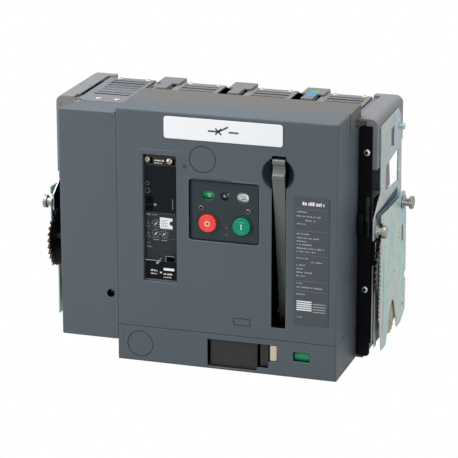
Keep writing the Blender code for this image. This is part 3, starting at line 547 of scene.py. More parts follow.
class Tree:
    """Adds nodes to one shader tree."""

    def __init__(self, tree: bpy.types.NodeTree) -> None:
        """Keep the tree that is added to."""
        self.tree = tree

    def add(self, kind: str, inputs: dict | None = None, **settings: object) -> bpy.types.Node:
        """Add a node.

        Args:
            kind: The node's type, without its prefix.
            inputs: Input names or numbers, with a value or an output to link.
            settings: The node's own properties.

        Returns:
            The node.
        """
        node = self.tree.nodes.new("ShaderNode" + kind)
        for key, value in settings.items():
            setattr(node, key, value)
        for key, value in (inputs or {}).items():
            if isinstance(value, bpy.types.NodeSocket):
                self.tree.links.new(value, node.inputs[key])
            else:
                node.inputs[key].default_value = value
        return node

    def maths(self, operation: str, *values: object, clamp: bool = False) -> bpy.types.NodeSocket:
        """The result of a sum of numbers or outputs."""
        node = self.add("Math", dict(enumerate(values)), operation=operation, use_clamp=clamp)
        return node.outputs[0]

    def noise(
        self, where: bpy.types.NodeSocket, scale: object, detail: float = 2.0
    ) -> bpy.types.NodeSocket:
        """Smooth noise about one half."""
        node = self.add("TexNoise", {"Vector": where, "Scale": scale, "Detail": detail})
        return node.outputs["Fac"]

    def spread(self, value: object, source: Pair, target: tuple[object, object]) -> bpy.types.NodeSocket:
        """A value carried from one range to another, held at its ends."""
        inputs = {"Value": value, "From Min": source[0], "From Max": source[1]}
        inputs |= {"To Min": target[0], "To Max": target[1]}
        return self.add("MapRange", inputs).outputs["Result"]

    def mix(self, share: object, first: object, second: object, blend: str = "MIX") -> bpy.types.NodeSocket:
        """Two colours mixed."""
        node = self.add("MixRGB", {"Fac": share, "Color1": first, "Color2": second}, blend_type=blend)
        return node.outputs["Color"]


class Group:
    """A shader node group with named sockets, built once."""

    KINDS = {"Colour": "NodeSocketColor", "Normal": "NodeSocketVector", "Vector": "NodeSocketVector"}

    def __init__(self, name: str, inputs: tuple[str, ...], outputs: tuple[str, ...]) -> None:
        """Make the empty group.

        Args:
            name: The group's name.
            inputs: Names of its inputs. One that starts with Colour holds a colour.
            outputs: Names of its outputs.
        """
        self.tree = bpy.data.node_groups.new(name, "ShaderNodeTree")
        for direction, names in (("INPUT", inputs), ("OUTPUT", outputs)):
            for socket in names:
                kind = self.KINDS.get(socket.split()[0], "NodeSocketFloat")
                self.tree.interface.new_socket(name=socket, in_out=direction, socket_type=kind)
        self.build = Tree(self.tree)
        self.given = self.tree.nodes.new("NodeGroupInput").outputs
        self.result = self.tree.nodes.new("NodeGroupOutput").inputs

    def give(self, name: str, socket: bpy.types.NodeSocket) -> None:
        """Link an output of the group."""
        self.tree.links.new(socket, self.result[name])

    def where(self) -> bpy.types.NodeSocket:
        """The place on the object."""
        return self.build.add("TexCoord").outputs["Object"]


def skin_group() -> bpy.types.NodeTree:
    """Moulded skin: clouded colour, fine grain as a normal, uneven gloss, and lighter edges that are part wear and
    part painted highlight.
    """
    group = Group(
        "moulded_skin",
        ("Colour", "Colour Rub", "Mottle", "Grain Size", "Grain Depth", "Gloss", "Gloss Spread", "Rub"),
        ("Colour", "Roughness", "Normal"),
    )
    tree, given, where = group.build, group.given, group.where()
    cloud = tree.noise(where, 9.0, 4.0)
    speck = tree.noise(where, 420.0, 2.0)
    mixed = tree.maths("ADD", tree.maths("MULTIPLY", cloud, 0.7), tree.maths("MULTIPLY", speck, 0.3))
    swing = tree.maths("MULTIPLY", tree.maths("SUBTRACT", mixed, 0.5), given["Mottle"])
    shade = tree.maths("ADD", swing, 1.0)
    tone = tree.add("VectorMath", {0: given["Colour"], "Scale": shade}, operation="SCALE").outputs[0]
    # Edges found from the bevelled normal get a lighter colour in patches: part wear, part painted edge highlight.
    rounding = tree.add("Bevel", {"Radius": 0.0012}, samples=4).outputs["Normal"]
    flat = tree.add("NewGeometry").outputs["Normal"]
    facing = tree.add("VectorMath", {0: rounding, 1: flat}, operation="DOT_PRODUCT").outputs["Value"]
    edge = tree.spread(tree.maths("SUBTRACT", 1.0, facing), (0.01, 0.12), (0.0, 1.0))
    patches = tree.spread(tree.noise(where, 60.0, 3.0), (0.35, 0.65), (0.25, 1.0))
    rub = tree.maths("MULTIPLY", tree.maths("MULTIPLY", edge, patches), given["Rub"], clamp=True)
    group.give("Colour", tree.mix(rub, tone, given["Colour Rub"]))
    smear = tree.maths(
        "MULTIPLY", tree.maths("SUBTRACT", tree.noise(where, 22.0, 5.0), 0.5), given["Gloss Spread"]
    )
    group.give("Roughness", tree.maths("ADD", given["Gloss"], smear, clamp=True))
    height = tree.noise(where, given["Grain Size"], 3.0)
    bump = tree.add("Bump", {"Strength": given["Grain Depth"], "Distance": 0.0002, "Height": height})
    group.give("Normal", bump.outputs["Normal"])
    return group.tree


def plating_group() -> bpy.types.NodeTree:
    """Passivated zinc: soft bands of blue, straw and pink over grey, and fine rolling lines."""
    group = Group(
        "zinc_passivation",
        ("Colour", "Colour Cool", "Colour Warm", "Film", "Gloss"),
        ("Colour", "Roughness", "Normal"),
    )
    tree, given, where = group.build, group.given, group.where()
    stretch = tree.add("Mapping", {"Vector": where, "Scale": (1.0, 1.0, 0.28)}).outputs[0]
    cool = tree.spread(tree.noise(stretch, 26.0, 2.0), (0.48, 0.68), (0.0, 1.0))
    shifted = tree.add("Mapping", {"Vector": stretch, "Location": (0.31, 0.17, 0.23)}).outputs[0]
    warm = tree.spread(tree.noise(shifted, 34.0, 2.0), (0.50, 0.70), (0.0, 1.0))
    first = tree.mix(tree.maths("MULTIPLY", cool, given["Film"]), given["Colour"], given["Colour Cool"])
    second = tree.mix(tree.maths("MULTIPLY", warm, given["Film"]), first, given["Colour Warm"])
    cloud = tree.spread(tree.noise(where, 70.0, 5.0), (0.3, 0.7), (0.88, 1.06))
    group.give("Colour", tree.add("VectorMath", {0: second, "Scale": cloud}, operation="SCALE").outputs[0])
    lines = tree.add("Mapping", {"Vector": where, "Scale": (1.0, 1.0, 0.03)}).outputs[0]
    rolled = tree.noise(lines, 900.0, 2.0)
    smear = tree.maths("MULTIPLY", tree.maths("SUBTRACT", tree.noise(where, 30.0, 4.0), 0.5), 0.28)
    group.give("Roughness", tree.maths("ADD", given["Gloss"], smear, clamp=True))
    bump = tree.add("Bump", {"Strength": 0.18, "Distance": 0.0001, "Height": rolled})
    group.give("Normal", bump.outputs["Normal"])
    return group.tree


def metal_group() -> bpy.types.NodeTree:
    """Turned or ground metal: stains in the colour, fine scratches as a normal and in the gloss."""
    group = Group(
        "worked_metal", ("Colour", "Colour Stain", "Stain", "Gloss"), ("Colour", "Roughness", "Normal")
    )
    tree, given, where = group.build, group.given, group.where()
    patch = tree.spread(tree.noise(where, 55.0, 6.0), (0.42, 0.70), (0.0, 1.0))
    group.give(
        "Colour",
        tree.mix(tree.maths("MULTIPLY", patch, given["Stain"]), given["Colour"], given["Colour Stain"]),
    )
    scratch = tree.add("Mapping", {"Vector": where, "Scale": (0.12, 1.0, 1.0)}).outputs[0]
    lines = tree.noise(scratch, 1500.0, 3.0)
    smear = tree.maths("MULTIPLY", tree.maths("SUBTRACT", lines, 0.5), 0.30)
    worn = tree.maths("MULTIPLY", patch, 0.10)
    group.give("Roughness", tree.maths("ADD", given["Gloss"], tree.maths("ADD", smear, worn), clamp=True))
    bump = tree.add("Bump", {"Strength": 0.15, "Distance": 0.0001, "Height": lines})
    group.give("Normal", bump.outputs["Normal"])
    return group.tree


class Groups:
    """The node groups that materials share, each built when first asked for."""

    MAKERS = {"skin": skin_group, "plating": plating_group, "metal": metal_group}
    made: dict[str, bpy.types.NodeTree] = {}

    @classmethod
    def get(cls, name: str) -> bpy.types.NodeTree:
        """The group of a name."""
        if name not in cls.made:
            cls.made[name] = cls.MAKERS[name]()
        return cls.made[name]


@dataclass(frozen=True)
class Finish:
    """A material: its record slot, colour and gloss."""

    name: str
    slot: str
    colour: Triple
    gloss: float = 0.5
    metallic: float = 0.0

    def group(self) -> tuple[str, dict]:
        """The shared group that the finish uses, and the values it is given."""
        raise NotImplementedError

    def settings(self) -> dict:
        """Constant values of the Principled shader."""
        return {"Metallic": self.metallic}

    def material(self) -> bpy.types.Material:
        """The Blender material, made on first use."""
        found = bpy.data.materials.get(self.name)
        if found is not None:
            return found
        found = bpy.data.materials.new(self.name)
        found.use_nodes = True
        tree = found.node_tree
        shader = tree.nodes["Principled BSDF"]
        for key, value in self.settings().items():
            shader.inputs[key].default_value = value
        name, values = self.group()
        node = tree.nodes.new("ShaderNodeGroup")
        node.node_tree = Groups.get(name)
        for key, value in values.items():
            node.inputs[key].default_value = value
        for output, target in (("Colour", "Base Color"), ("Roughness", "Roughness"), ("Normal", "Normal")):
            tree.links.new(node.outputs[output], shader.inputs[target])
        return found


@dataclass(frozen=True)
class Moulding(Finish):
    """Moulded plastic, paint or print: grain, clouding, and lighter edges that are part wear and part painted
    highlight.
    """

    mottle: float = 0.16
    grain: float = 900.0
    depth: float = 0.22
    uneven: float = 0.16
    # How much the edges lighten: part wear, part painted highlight.
    rub: float = 0.35
    rubbed: Triple = (0.30, 0.32, 0.34)
    coat: float = 0.0
    alpha: float = 1.0
    shine: float = 0.5

    def group(self) -> tuple[str, dict]:
        """The moulded skin with this finish's values."""
        return "skin", {
            "Colour": (*self.colour, 1.0),
            "Colour Rub": (*self.rubbed, 1.0),
            "Mottle": self.mottle,
            "Grain Size": self.grain,
            "Grain Depth": self.depth,
            "Gloss": self.gloss,
            "Gloss Spread": self.uneven,
            "Rub": self.rub,
        }

    def settings(self) -> dict:
        """Adds the coat, and see-through plastic where it is clear."""
        return {
            "Metallic": self.metallic,
            "Coat Weight": self.coat,
            "Alpha": self.alpha,
            "Specular IOR Level": self.shine,
        }


@dataclass(frozen=True)
class Plating(Finish):
    """Zinc plating with an iridescent film."""

    cool: Triple = (0.42, 0.66, 0.78)
    warm: Triple = (0.74, 0.66, 0.66)
    film: float = 0.75

    def group(self) -> tuple[str, dict]:
        """The passivated zinc with this finish's values."""
        return "plating", {
            "Colour": (*self.colour, 1.0),
            "Colour Cool": (*self.cool, 1.0),
            "Colour Warm": (*self.warm, 1.0),
            "Film": self.film,
            "Gloss": self.gloss,
        }


@dataclass(frozen=True)
class Metal(Finish):
    """Bare worked metal."""

    stained: Triple = (0.20, 0.19, 0.17)
    stain: float = 0.5

    def group(self) -> tuple[str, dict]:
        """The worked metal with this finish's values."""
        return "metal", {
            "Colour": (*self.colour, 1.0),
            "Colour Stain": (*self.stained, 1.0),
            "Stain": self.stain,
            "Gloss": self.gloss,
        }


def printed(name: str, slot: str, colour: Triple, gloss: float = 0.50) -> Moulding:
    """A flat printed ink with almost no grain."""
    return Moulding(name, slot, colour, gloss, rub=0.0, depth=0.03, mottle=0.05)


COVER_GREY = Moulding("cover_moulding", "grey_moulding", (0.080, 0.101, 0.120), 0.46, shine=0.4)
TOP_GREY = Moulding("chute_moulding", "grey_moulding", (0.176, 0.172, 0.172), 0.50, grain=700.0, depth=0.35)
TAB_GREY = Moulding("tab_moulding", "grey_moulding", (0.150, 0.158, 0.170), 0.50, grain=700.0, depth=0.30)
CAP_GREY = Moulding("cap_moulding", "grey_moulding", (0.185, 0.190, 0.200), 0.46)
MECHANISM_BROWN = Moulding("mechanism_moulding", "top_moulding", (0.105, 0.102, 0.098), 0.52, depth=0.45)
HOUSING_BLACK = Moulding(
    "housing_moulding", "black_moulding", (0.020, 0.021, 0.024), 0.42, rub=0.5, rubbed=(0.08, 0.08, 0.085)
)
SHUTTER_BLACK = Moulding(
    "shutter_moulding", "black_moulding", (0.032, 0.032, 0.034), 0.40, rub=0.3, rubbed=(0.10, 0.10, 0.10)
)
PANEL_SLATE = Moulding(
    "panel_moulding",
    "panel",
    (0.026, 0.041, 0.047),
    0.48,
    rub=0.6,
    shine=0.25,
    rubbed=(0.16, 0.18, 0.19),
    mottle=0.10,
)
TRIP_BLACK = Moulding(
    "trip_moulding", "trip_black", (0.012, 0.013, 0.017), 0.36, rub=0.4, rubbed=(0.09, 0.09, 0.10)
)
TRIP_FACE = Moulding(
    "trip_face_film", "trip_black", (0.008, 0.010, 0.014), 0.40, rub=0.0, depth=0.05, shine=0.08
)
TRIP_LOW = Moulding(
    "trip_lower_film", "trip_black", (0.026, 0.029, 0.038), 0.34, rub=0.0, depth=0.05, shine=0.2
)
# Matte black without shine: painted shade for the insides of holes, slots, grooves, bores and gaps.
BLACK_VOID = Moulding("recess_black", "black_moulding", (0.003, 0.003, 0.004), 0.80, rub=0.0, shine=0.0)
CLEAR = Moulding(
    "clear_moulding",
    "clear_cover",
    (0.06, 0.065, 0.07),
    0.08,
    rub=0.5,
    rubbed=(0.5, 0.5, 0.52),
    depth=0.02,
    uneven=0.05,
    alpha=0.02,
    shine=0.1,
)
RED = Moulding(
    "stop_red",
    "red",
    (0.80, 0.055, 0.040),
    0.30,
    rub=0.25,
    rubbed=(0.9, 0.35, 0.3),
    depth=0.05,
    mottle=0.08,
    coat=0.2,
)
GREEN = Moulding(
    "start_green",
    "green",
    (0.000, 0.250, 0.145),
    0.34,
    rub=0.2,
    rubbed=(0.1, 0.5, 0.35),
    depth=0.05,
    mottle=0.08,
    shine=0.3,
)
FLAG_GREEN = Moulding("flag_green", "green", (0.004, 0.260, 0.090), 0.35, rub=0.0, depth=0.05, mottle=0.08)
WHITE = Moulding(
    "plate_white",
    "white",
    (0.86, 0.88, 0.90),
    0.32,
    rub=0.1,
    rubbed=(0.7, 0.7, 0.7),
    depth=0.04,
    mottle=0.04,
)
PRINT_WHITE = printed("print_white", "white", (0.78, 0.79, 0.80))
PRINT_GREY = printed("print_grey", "white", (0.34, 0.36, 0.38))
PRINT_DIM = printed("print_dim", "white", (0.16, 0.17, 0.19))
PRINT_DARK = printed("print_dark", "black_moulding", (0.055, 0.058, 0.062))
TINT_RED = printed("print_on_red", "white", (0.88, 0.20, 0.16), 0.45)
TINT_GREEN = printed("print_on_green", "white", (0.16, 0.56, 0.40), 0.45)
LABEL_FILM = Moulding(
    "label_film",
    "label",
    (0.058, 0.069, 0.087),
    0.42,
    rub=0.2,
    rubbed=(0.2, 0.2, 0.22),
    depth=0.06,
    mottle=0.08,
)
STRIPE_GREEN = Moulding("stripe_green", "green", (0.040, 0.360, 0.090), 0.45, rub=0.0, depth=0.05)
STRIPE_BLUE = Moulding("stripe_blue", "label", (0.050, 0.200, 0.620), 0.45, rub=0.0, depth=0.05)
HANDLE_OLIVE = Moulding(
    "handle_enamel",
    "handle_metal",
    (0.158, 0.176, 0.170),
    0.36,
    0.55,
    rub=0.8,
    rubbed=(0.42, 0.41, 0.36),
    mottle=0.30,
    grain=380.0,
    depth=0.30,
    uneven=0.30,
)
BLACK_STEEL = Moulding(
    "black_oxide",
    "black_steel",
    (0.002, 0.002, 0.003),
    0.34,
    rub=0.7,
    rubbed=(0.05, 0.05, 0.06),
    depth=0.10,
    mottle=0.25,
    shine=0.14,
)
# Dark navy: painted shade and painted dark reflection, on the fold between the side plates and in the racking plate's
# holes.
NAVY_STEEL = Moulding(
    "blued_steel",
    "black_steel",
    (0.012, 0.045, 0.110),
    0.32,
    0.6,
    rub=0.3,
    rubbed=(0.10, 0.16, 0.25),
    depth=0.10,
)
ZINC = Plating("zinc_plate", "zinc", (0.58, 0.75, 0.68), 0.40, 0.75)
ZINC_INNER = Plating("zinc_plate_inner", "zinc", (0.56, 0.62, 0.60), 0.42, 0.75, film=0.5)
STEEL = Metal("turned_steel", "steel", (0.52, 0.51, 0.49), 0.30, 1.0)
BRIGHT_STEEL = Metal("bright_steel", "steel", (0.72, 0.72, 0.70), 0.22, 1.0, stain=0.2)
BRASS = Metal("dull_brass", "brass", (0.58, 0.52, 0.36), 0.34, 1.0, stained=(0.22, 0.18, 0.10), stain=0.6)
CREAM = Moulding(
    "lever_zinc_yellow",
    "brass",
    (0.66, 0.60, 0.42),
    0.34,
    0.35,
    rub=0.6,
    rubbed=(0.85, 0.82, 0.72),
    mottle=0.20,
    depth=0.08,
)
COPPER = Metal("copper_bar", "copper", (0.74, 0.42, 0.30), 0.30, 1.0, stained=(0.42, 0.22, 0.14), stain=0.5)
SILVER = Metal(
    "silver_contact", "copper", (0.80, 0.79, 0.76), 0.26, 1.0, stained=(0.45, 0.42, 0.38), stain=0.4
)
ROLLER_STEEL = Metal(
    "roller_steel", "steel", (0.46, 0.44, 0.40), 0.20, 1.0, stained=(0.16, 0.15, 0.12), stain=0.7
)
# Dark glossy grey, darker than the cover: painted shade in the finger bowl.
BOWL_GREY = Moulding(
    "bowl_moulding", "grey_moulding", (0.034, 0.042, 0.048), 0.16, rub=0.0, depth=0.04, shine=1.0
)
DOT_MAROON = Moulding("sealing_dot_maroon", "red", (0.052, 0.040, 0.048), 0.45, rub=0.0, depth=0.1)
YELLOW = Moulding("flag_yellow", "white", (0.80, 0.58, 0.05), 0.35, rub=0.0, depth=0.05, mottle=0.08)
BRONZE = Metal("bronze", "brass", (0.36, 0.25, 0.17), 0.40, 1.0, stained=(0.12, 0.08, 0.06), stain=0.5)
SHUTTER_BROWN = Moulding(
    "shutter_brown",
    "black_moulding",
    (0.026, 0.026, 0.027),
    0.36,
    0.10,
    rub=0.5,
    rubbed=(0.10, 0.10, 0.10),
    mottle=0.35,
    grain=500.0,
    uneven=0.3,
)
HOUSING_GREY = Moulding(
    "housing_dark", "black_moulding", (0.165, 0.170, 0.178), 0.46, rub=0.3, rubbed=(0.25, 0.25, 0.26)
)
CHUTE_BLUE = Moulding(
    "chute_blue_grey", "grey_moulding", (0.145, 0.153, 0.174), 0.44, grain=700.0, depth=0.30
)
GEAR_BLACK = Metal(
    "oiled_gear", "black_steel", (0.040, 0.038, 0.034), 0.34, 0.9, stained=(0.12, 0.11, 0.095), stain=0.6
)
FLOOR = Moulding("pale_floor", "white", (0.40, 0.40, 0.40), 0.85, rub=0.0, mottle=0.02, depth=0.02)
KNOWN = {finish.name for finish in list(globals().values()) if isinstance(finish, Finish)}


# ---------------------------------------------------------------- printed marks


def front_of(node: str) -> float:
    """Where a node's front lies."""
    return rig.box(node)[0].y


def disc(x: float, z: float, radius: float, front: float, back: float, edge: float = 0.0001) -> Shape:
    """A thin round plate that faces the front."""
    return Shape.prism(circle((x, z), radius, 40), Axis.Y, (front, back), edge, 2)


def ring(x: float, z: float, outer: float, inner: float, front: float, back: float) -> Shape:
    """A flat ring that faces the front, square in section."""
    rows = [(front, outer), (front, inner), (back, inner), (back, outer)]
    return Shape.lathe(rows, Axis.Y, (x, z), 48, wrapped=True)


def plate(x: Pair, z: Pair, front: float, back: float, radius: float) -> Shape:
    """A thin plate with round corners that faces the front."""
    outline = rounded((x[0], z[0]), (x[1], z[1]), radius)
    return Shape.prism(outline, Axis.Y, (front, back), min(radius, back - front) * 0.3, 2)


def marks(rows: list[Row], front: float, depth: float = PRINT_DEPTH) -> Shape:
    """Printed bars that face the front, each given as its lowest x and z, then its highest."""
    table = np.array(rows, float)
    lows = np.stack([table[:, 0], np.full(len(table), front), table[:, 1]], axis=-1)
    highs = np.stack([table[:, 2], np.full(len(table), front + depth), table[:, 3]], axis=-1)
    return Shape.slabs(lows, highs)


def stroke(start: Pair, stop: Pair, width: float, front: float) -> Shape:
    """A printed line between two points, half its width laid off to each side of its middle."""
    first, last = np.array(start), np.array(stop)
    ahead = (last - first) / np.linalg.norm(last - first)
    side = width / 2 * np.array([-ahead[1], ahead[0]])
    outline = np.array([first - side, last - side, last + side, first + side])
    return Shape.prism(outline, Axis.Y, (front, front + PRINT_DEPTH))


def worded(
    x: Pair, z: float, height: float, letters: int, seed: int
) -> list[Row]:
    """A line of bars whose widths and gaps look like small print that can't be read.

    Widths come from a seeded draw, are scaled to fill the line, and every other gap is wide.

    Args:
        x: Where the line starts and stops.
        z: Height of the line's foot.
        height: Height of its bars.
        letters: Bars in the line.
        seed: Seed of the draw.

    Returns:
        One row a bar: lowest x and z, then highest.
    """
    draw = np.random.RandomState(seed)
    widths = draw.uniform(0.6, 1.6, letters)
    gaps = np.where(draw.uniform(size=letters) < 0.3, 1.1, 0.32)
    stops = np.cumsum(widths + gaps) - gaps
    scale = (x[1] - x[0]) / stops[-1]
    starts = x[0] + (stops - widths) * scale
    ends = x[0] + stops * scale
    tall = height * draw.choice([0.8, 1.0], letters)
    return [(a, z, b, z + h) for a, b, h in zip(starts, ends, tall)]


def worded_rows(table: list[tuple[float, ...]]) -> list[Row]:
    """Lines of small print, each row in millimetres: start, stop, foot, height, letters and seed."""
    rows: list[Row] = []
    for start, stop, foot, height, letters, seed in table:
        rows += worded(mm(start, stop), foot * MM, height * MM, letters, seed)
    return rows


def symbol_breaker(x: float, z: float, size: float, front: float) -> Shape:
    """The symbol of a circuit breaker: a line, a cross on its end, an open blade and a line."""
    arm = 0.10 * size
    end = x - 0.16 * size
    return total(
        [
            stroke((x - 0.5 * size, z), (end, z), 0.055 * size, front),
            stroke((x + 0.18 * size, z), (x + 0.5 * size, z), 0.055 * size, front),
            stroke((end - arm, z - arm), (end + arm, z + arm), 0.05 * size, front),
            stroke((end - arm, z + arm), (end + arm, z - arm), 0.05 * size, front),
            stroke((end, z), (x + 0.16 * size, z + 0.17 * size), 0.055 * size, front),
        ]
    )


def screw(
    centre: Pair, axis: Axis, base: float, out: float, radius: float, height: float
) -> tuple[Shape, Shape]:
    """A pan-head screw and the dark six-lobed recess in it.

    The head is a dome: at height h above the base, its radius is radius sqrt(1 - (h / height)^4).
    The recess is a plate whose radius at turn t is 0.45 radius (1 + 0.16 cos 6t).

    Args:
        centre: Middle of the head, in the two directions across its axis.
        axis: The screw's axis.
        base: Where the surface lies along the axis.
        out: Plus or minus one, the way that the head stands out.
        radius: Radius of the head.
        height: Height of the head.

    Returns:
        The head and its recess.
    """
    up = np.linspace(-0.4, 0.97, 9)
    wide = radius * (1 - up.clip(0) ** 4) ** 0.5
    rows = list(zip((base + out * height * up).tolist(), wide.tolist()))
    head = Shape.lathe(rows, axis, centre, 32)
    t = np.linspace(0, 2 * math.pi, 36, endpoint=False)
    lobes = 0.45 * radius * (1 + 0.16 * np.cos(6 * t))
    outline = np.array(centre) + lobes[:, None] * np.stack([np.cos(t), np.sin(t)], axis=-1)
    top = base + out * height
    return head, Shape.prism(outline, axis, (top - out * 0.0002, top + out * 0.00004))


def screws(
    places: list[Pair], axis: Axis, base: float, out: float, radius: float, height: float
) -> tuple[Shape, Shape]:
    """The heads of equal screws as one shape, and their recesses as another."""
    pairs = [screw(place, axis, base, out, radius, height) for place in places]
    return total([head for head, _ in pairs]), total([recess for _, recess in pairs])


# ---------------------------------------------------------------- front


@dataclass
class FrontCovers:
    """The main moulded cover and the strips beside and below it."""

    edge: float = 1.1 * MM
    groove: float = 1.1 * MM
    knock_radius: float = 19.7 * MM
    knock_main: Pair = mm(18.1, 319.6)
    knock_low: Pair = mm(-80.0, 28.0)
    dimple: Pair = mm(-9.2, 306.4)
    date_low: Pair = mm(65.3, 72.9)
    date_high: Pair = mm(90.4, 83.1)
    arc_centre: Pair = mm(77.8, 84.6)
    arc_radius: float = 12.0 * MM
    sight: Pair = mm(-125.4, 102.5)
    trip_low: Pair = mm(-73.4, 127.6)
    trip_high: Pair = mm(-22.1, 320.8)
    trip_margin: float = 8.0 * MM
    panel_low: Pair = mm(-2.6, 197.8)
    panel_high: Pair = mm(103.4, 288.7)
    panel_margin: float = 2.6 * MM
    rise: float = 0.3 * MM

    def ring_groove(self, centre: Pair) -> Shape:
        """The cutter of a knock-out's round groove."""
        half = self.groove / 2
        inner, outer = self.knock_radius - half, self.knock_radius + half
        return ring(*centre, outer, inner, FACE_Y - MM, FACE_Y + 0.9 * MM)

    def frame_groove(self, low: Pair, high: Pair, radius: float) -> Shape:
        """The cutter of a rectangular groove."""
        step = self.groove / 2
        inner = rounded((low[0] + step, low[1] + step), (high[0] - step, high[1] - step), radius)
        outer = rounded((low[0] - step, low[1] - step), (high[0] + step, high[1] + step), radius + 2 * step)
        return Shape.band(outer, inner, Axis.Y, (FACE_Y - MM, FACE_Y + 0.5 * MM))

    def surround(self, low: Pair, high: Pair, margin: float, rise: float) -> Shape:
        """The low raised frame round an opening."""
        inner = rounded(
            (low[0] - 0.4 * MM, low[1] - 0.4 * MM), (high[0] + 0.4 * MM, high[1] + 0.4 * MM), 1.0 * MM
        )
        outer = rounded(
            (low[0] - margin, low[1] - margin), (high[0] + margin, high[1] + margin), margin / 2
        )
        return Shape.band(outer, inner, Axis.Y, (FACE_Y - rise, FACE_Y + 0.2 * MM), rise)

    def half_ring(self) -> Shape:
        """The cutter of the half-round line above the date window."""
        t = np.linspace(0.06, math.pi - 0.06, 30)
        path = np.stack(
            [
                self.arc_centre[0] + self.arc_radius * np.cos(t),
                np.full(t.shape, FACE_Y),
                self.arc_centre[1] + self.arc_radius * np.sin(t),
            ],
            axis=-1,
        )
        return Shape.tube(path, 0.28 * MM, 8)

    def arch(self) -> Shape:
        """The low arch over the left of the control panel, a flattened half ellipse."""
        t = np.linspace(0, math.pi, 32)
        x = 31.0 * MM + 31.0 * MM * np.cos(t)
        z = self.panel_high[1] + 1.2 * MM + 8.0 * MM * np.sin(t).clip(0) ** 0.8
        return Shape.prism(np.stack([x, z], axis=-1), Axis.Y, (FACE_Y - self.rise, FACE_Y + MM), 0.2 * MM)

    def main_cover(self) -> None:
        """The main cover with its grooves, steps and dimple."""
        cutters = (
            self.ring_groove(self.knock_main),
            self.frame_groove(self.date_low, self.date_high, 1.2 * MM),
            self.half_ring(),
            disc(*self.dimple, 3.4 * MM, FACE_Y - MM, FACE_Y + 0.35 * MM, 0),
        )
        refined("front_cover", COVER_GREY, self.edge, cutters)
        frames = self.surround(self.trip_low, self.trip_high, self.trip_margin, self.rise)
        frames += self.surround(self.panel_low, self.panel_high, self.panel_margin, self.rise)
        (frames + self.arch()).make("cover_surrounds", COVER_GREY)
        # Black rings inside the knock-out grooves: painted shade in the grooves.
        lines = total(
            [
                ring(
                    *centre,
                    self.knock_radius + 0.5 * MM,
                    self.knock_radius - 0.5 * MM,
                    FACE_Y + 0.12 * MM,
                    FACE_Y + 1.2 * MM,
                )
                for centre in (self.knock_main, self.knock_low)
            ]
        )
        lines.make("knock_out_lines", BLACK_VOID)
        self.front_lines()
        dot = disc(*self.dimple, 3.1 * MM, FACE_Y + 0.18 * MM, FACE_Y + 0.6 * MM)
        dot.make("sealing_dot", DOT_MAROON)

    def front_lines(self) -> None:
        """The panel's gap in painted shade and its lip in painted highlight, the date window's groove in painted
        shade, and the strip's groove in painted shade beside a painted highlight.
        """
        low, high = self.panel_low, self.panel_high
        left, bottom = low[0] - 0.3 * MM, low[1] - 0.3 * MM
        right, top = high[0] + 0.3 * MM, high[1] + 0.3 * MM
        # A black band round the panel, wider at its left and top: painted shade of the recess.
        outer = rounded((left, bottom), (right, top), 1.6 * MM)
        inner = rounded((left + 1.5 * MM, bottom + 0.9 * MM), (right - 0.8 * MM, top - 1.2 * MM), 1.0 * MM)
        Shape.band(outer, inner, Axis.Y, (FACE_Y + 0.25 * MM, FACE_Y + 0.7 * MM)).make(
            "panel_gap", BLACK_VOID
        )
        # Light strips along the panel's bottom and right edges: painted highlight on the lit lip.
        lip = [
            (left + MM, bottom - 1.1 * MM, right - MM, bottom - 0.5 * MM),
            (right + 0.4 * MM, bottom + 2 * MM, right + 0.8 * MM, top - 2 * MM),
        ]
        marks(lip, FACE_Y - self.rise - 0.05 * MM, 0.2 * MM).make("panel_lip", TAB_GREY)
        # A black band inside the date window's groove: painted shade in the groove.
        step = 0.35 * MM
        inner = rounded(
            (self.date_low[0] + step, self.date_low[1] + step),
            (self.date_high[0] - step, self.date_high[1] - step),
            1.0 * MM,
        )
        outer = rounded(
            (self.date_low[0] - step, self.date_low[1] - step),
            (self.date_high[0] + step, self.date_high[1] + step),
            1.3 * MM,
        )
        Shape.band(outer, inner, Axis.Y, (FACE_Y + 0.1 * MM, FACE_Y + 0.6 * MM)).make(
            "date_window_line", BLACK_VOID
        )
        # A dark bar and a light bar beside it draw the strip's groove: painted shade and painted highlight.
        strip = front_of("racking_cover")
        marks([mm(-105.2, 3.0, -104.4, 53.6)], strip - 0.05 * MM).make("strip_groove", PRINT_DARK)
        marks([mm(-104.2, 3.4, -103.8, 53.2)], strip - 0.05 * MM).make("strip_groove_edge", TAB_GREY)

    def side_covers(self) -> None:
        """The racking strip's cover, the neutral pole's cover and the lid of the mechanism."""
        refined("racking_cover", COVER_GREY, 0.7 * MM, (self.ring_groove(self.knock_low),))
        hole = disc(*self.sight, 5.5 * MM, front_of("neutral_cover") - MM, FACE_Y + 12 * MM, 0)
        refined("neutral_cover", COVER_GREY, self.edge, (hole,))
        refined("mechanism_top", MECHANISM_BROWN, 0.8 * MM)
        front = front_of("neutral_cover") + 5 * MM
        low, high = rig.box("neutral_cover")
        seam = Shape.slabs(
            [(high.x - 1.0 * MM, FACE_Y + 0.1 * MM, low.z + MM)],
            [(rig.box("front_cover")[0].x + 1.0 * MM, FACE_Y + 4 * MM, high.z - 2 * MM)],
        )
        seam.make("cover_seam_filler", COVER_GREY)
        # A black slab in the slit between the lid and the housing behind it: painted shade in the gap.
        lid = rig.box("mechanism_top")[1].x
        slit = Shape.slabs(
            [(lid - 0.3 * MM, -103.6 * MM, 356.0 * MM)], [(lid + 0.65 * MM, -102.3 * MM, 385.6 * MM)]
        )
        slit.make("lid_side_slit", BLACK_VOID)
        head, recess = screw(
            (self.sight[0] + 0.8 * MM, self.sight[1]), Axis.Y, front + 3 * MM, -1, 4.2 * MM, 2 * MM
        )
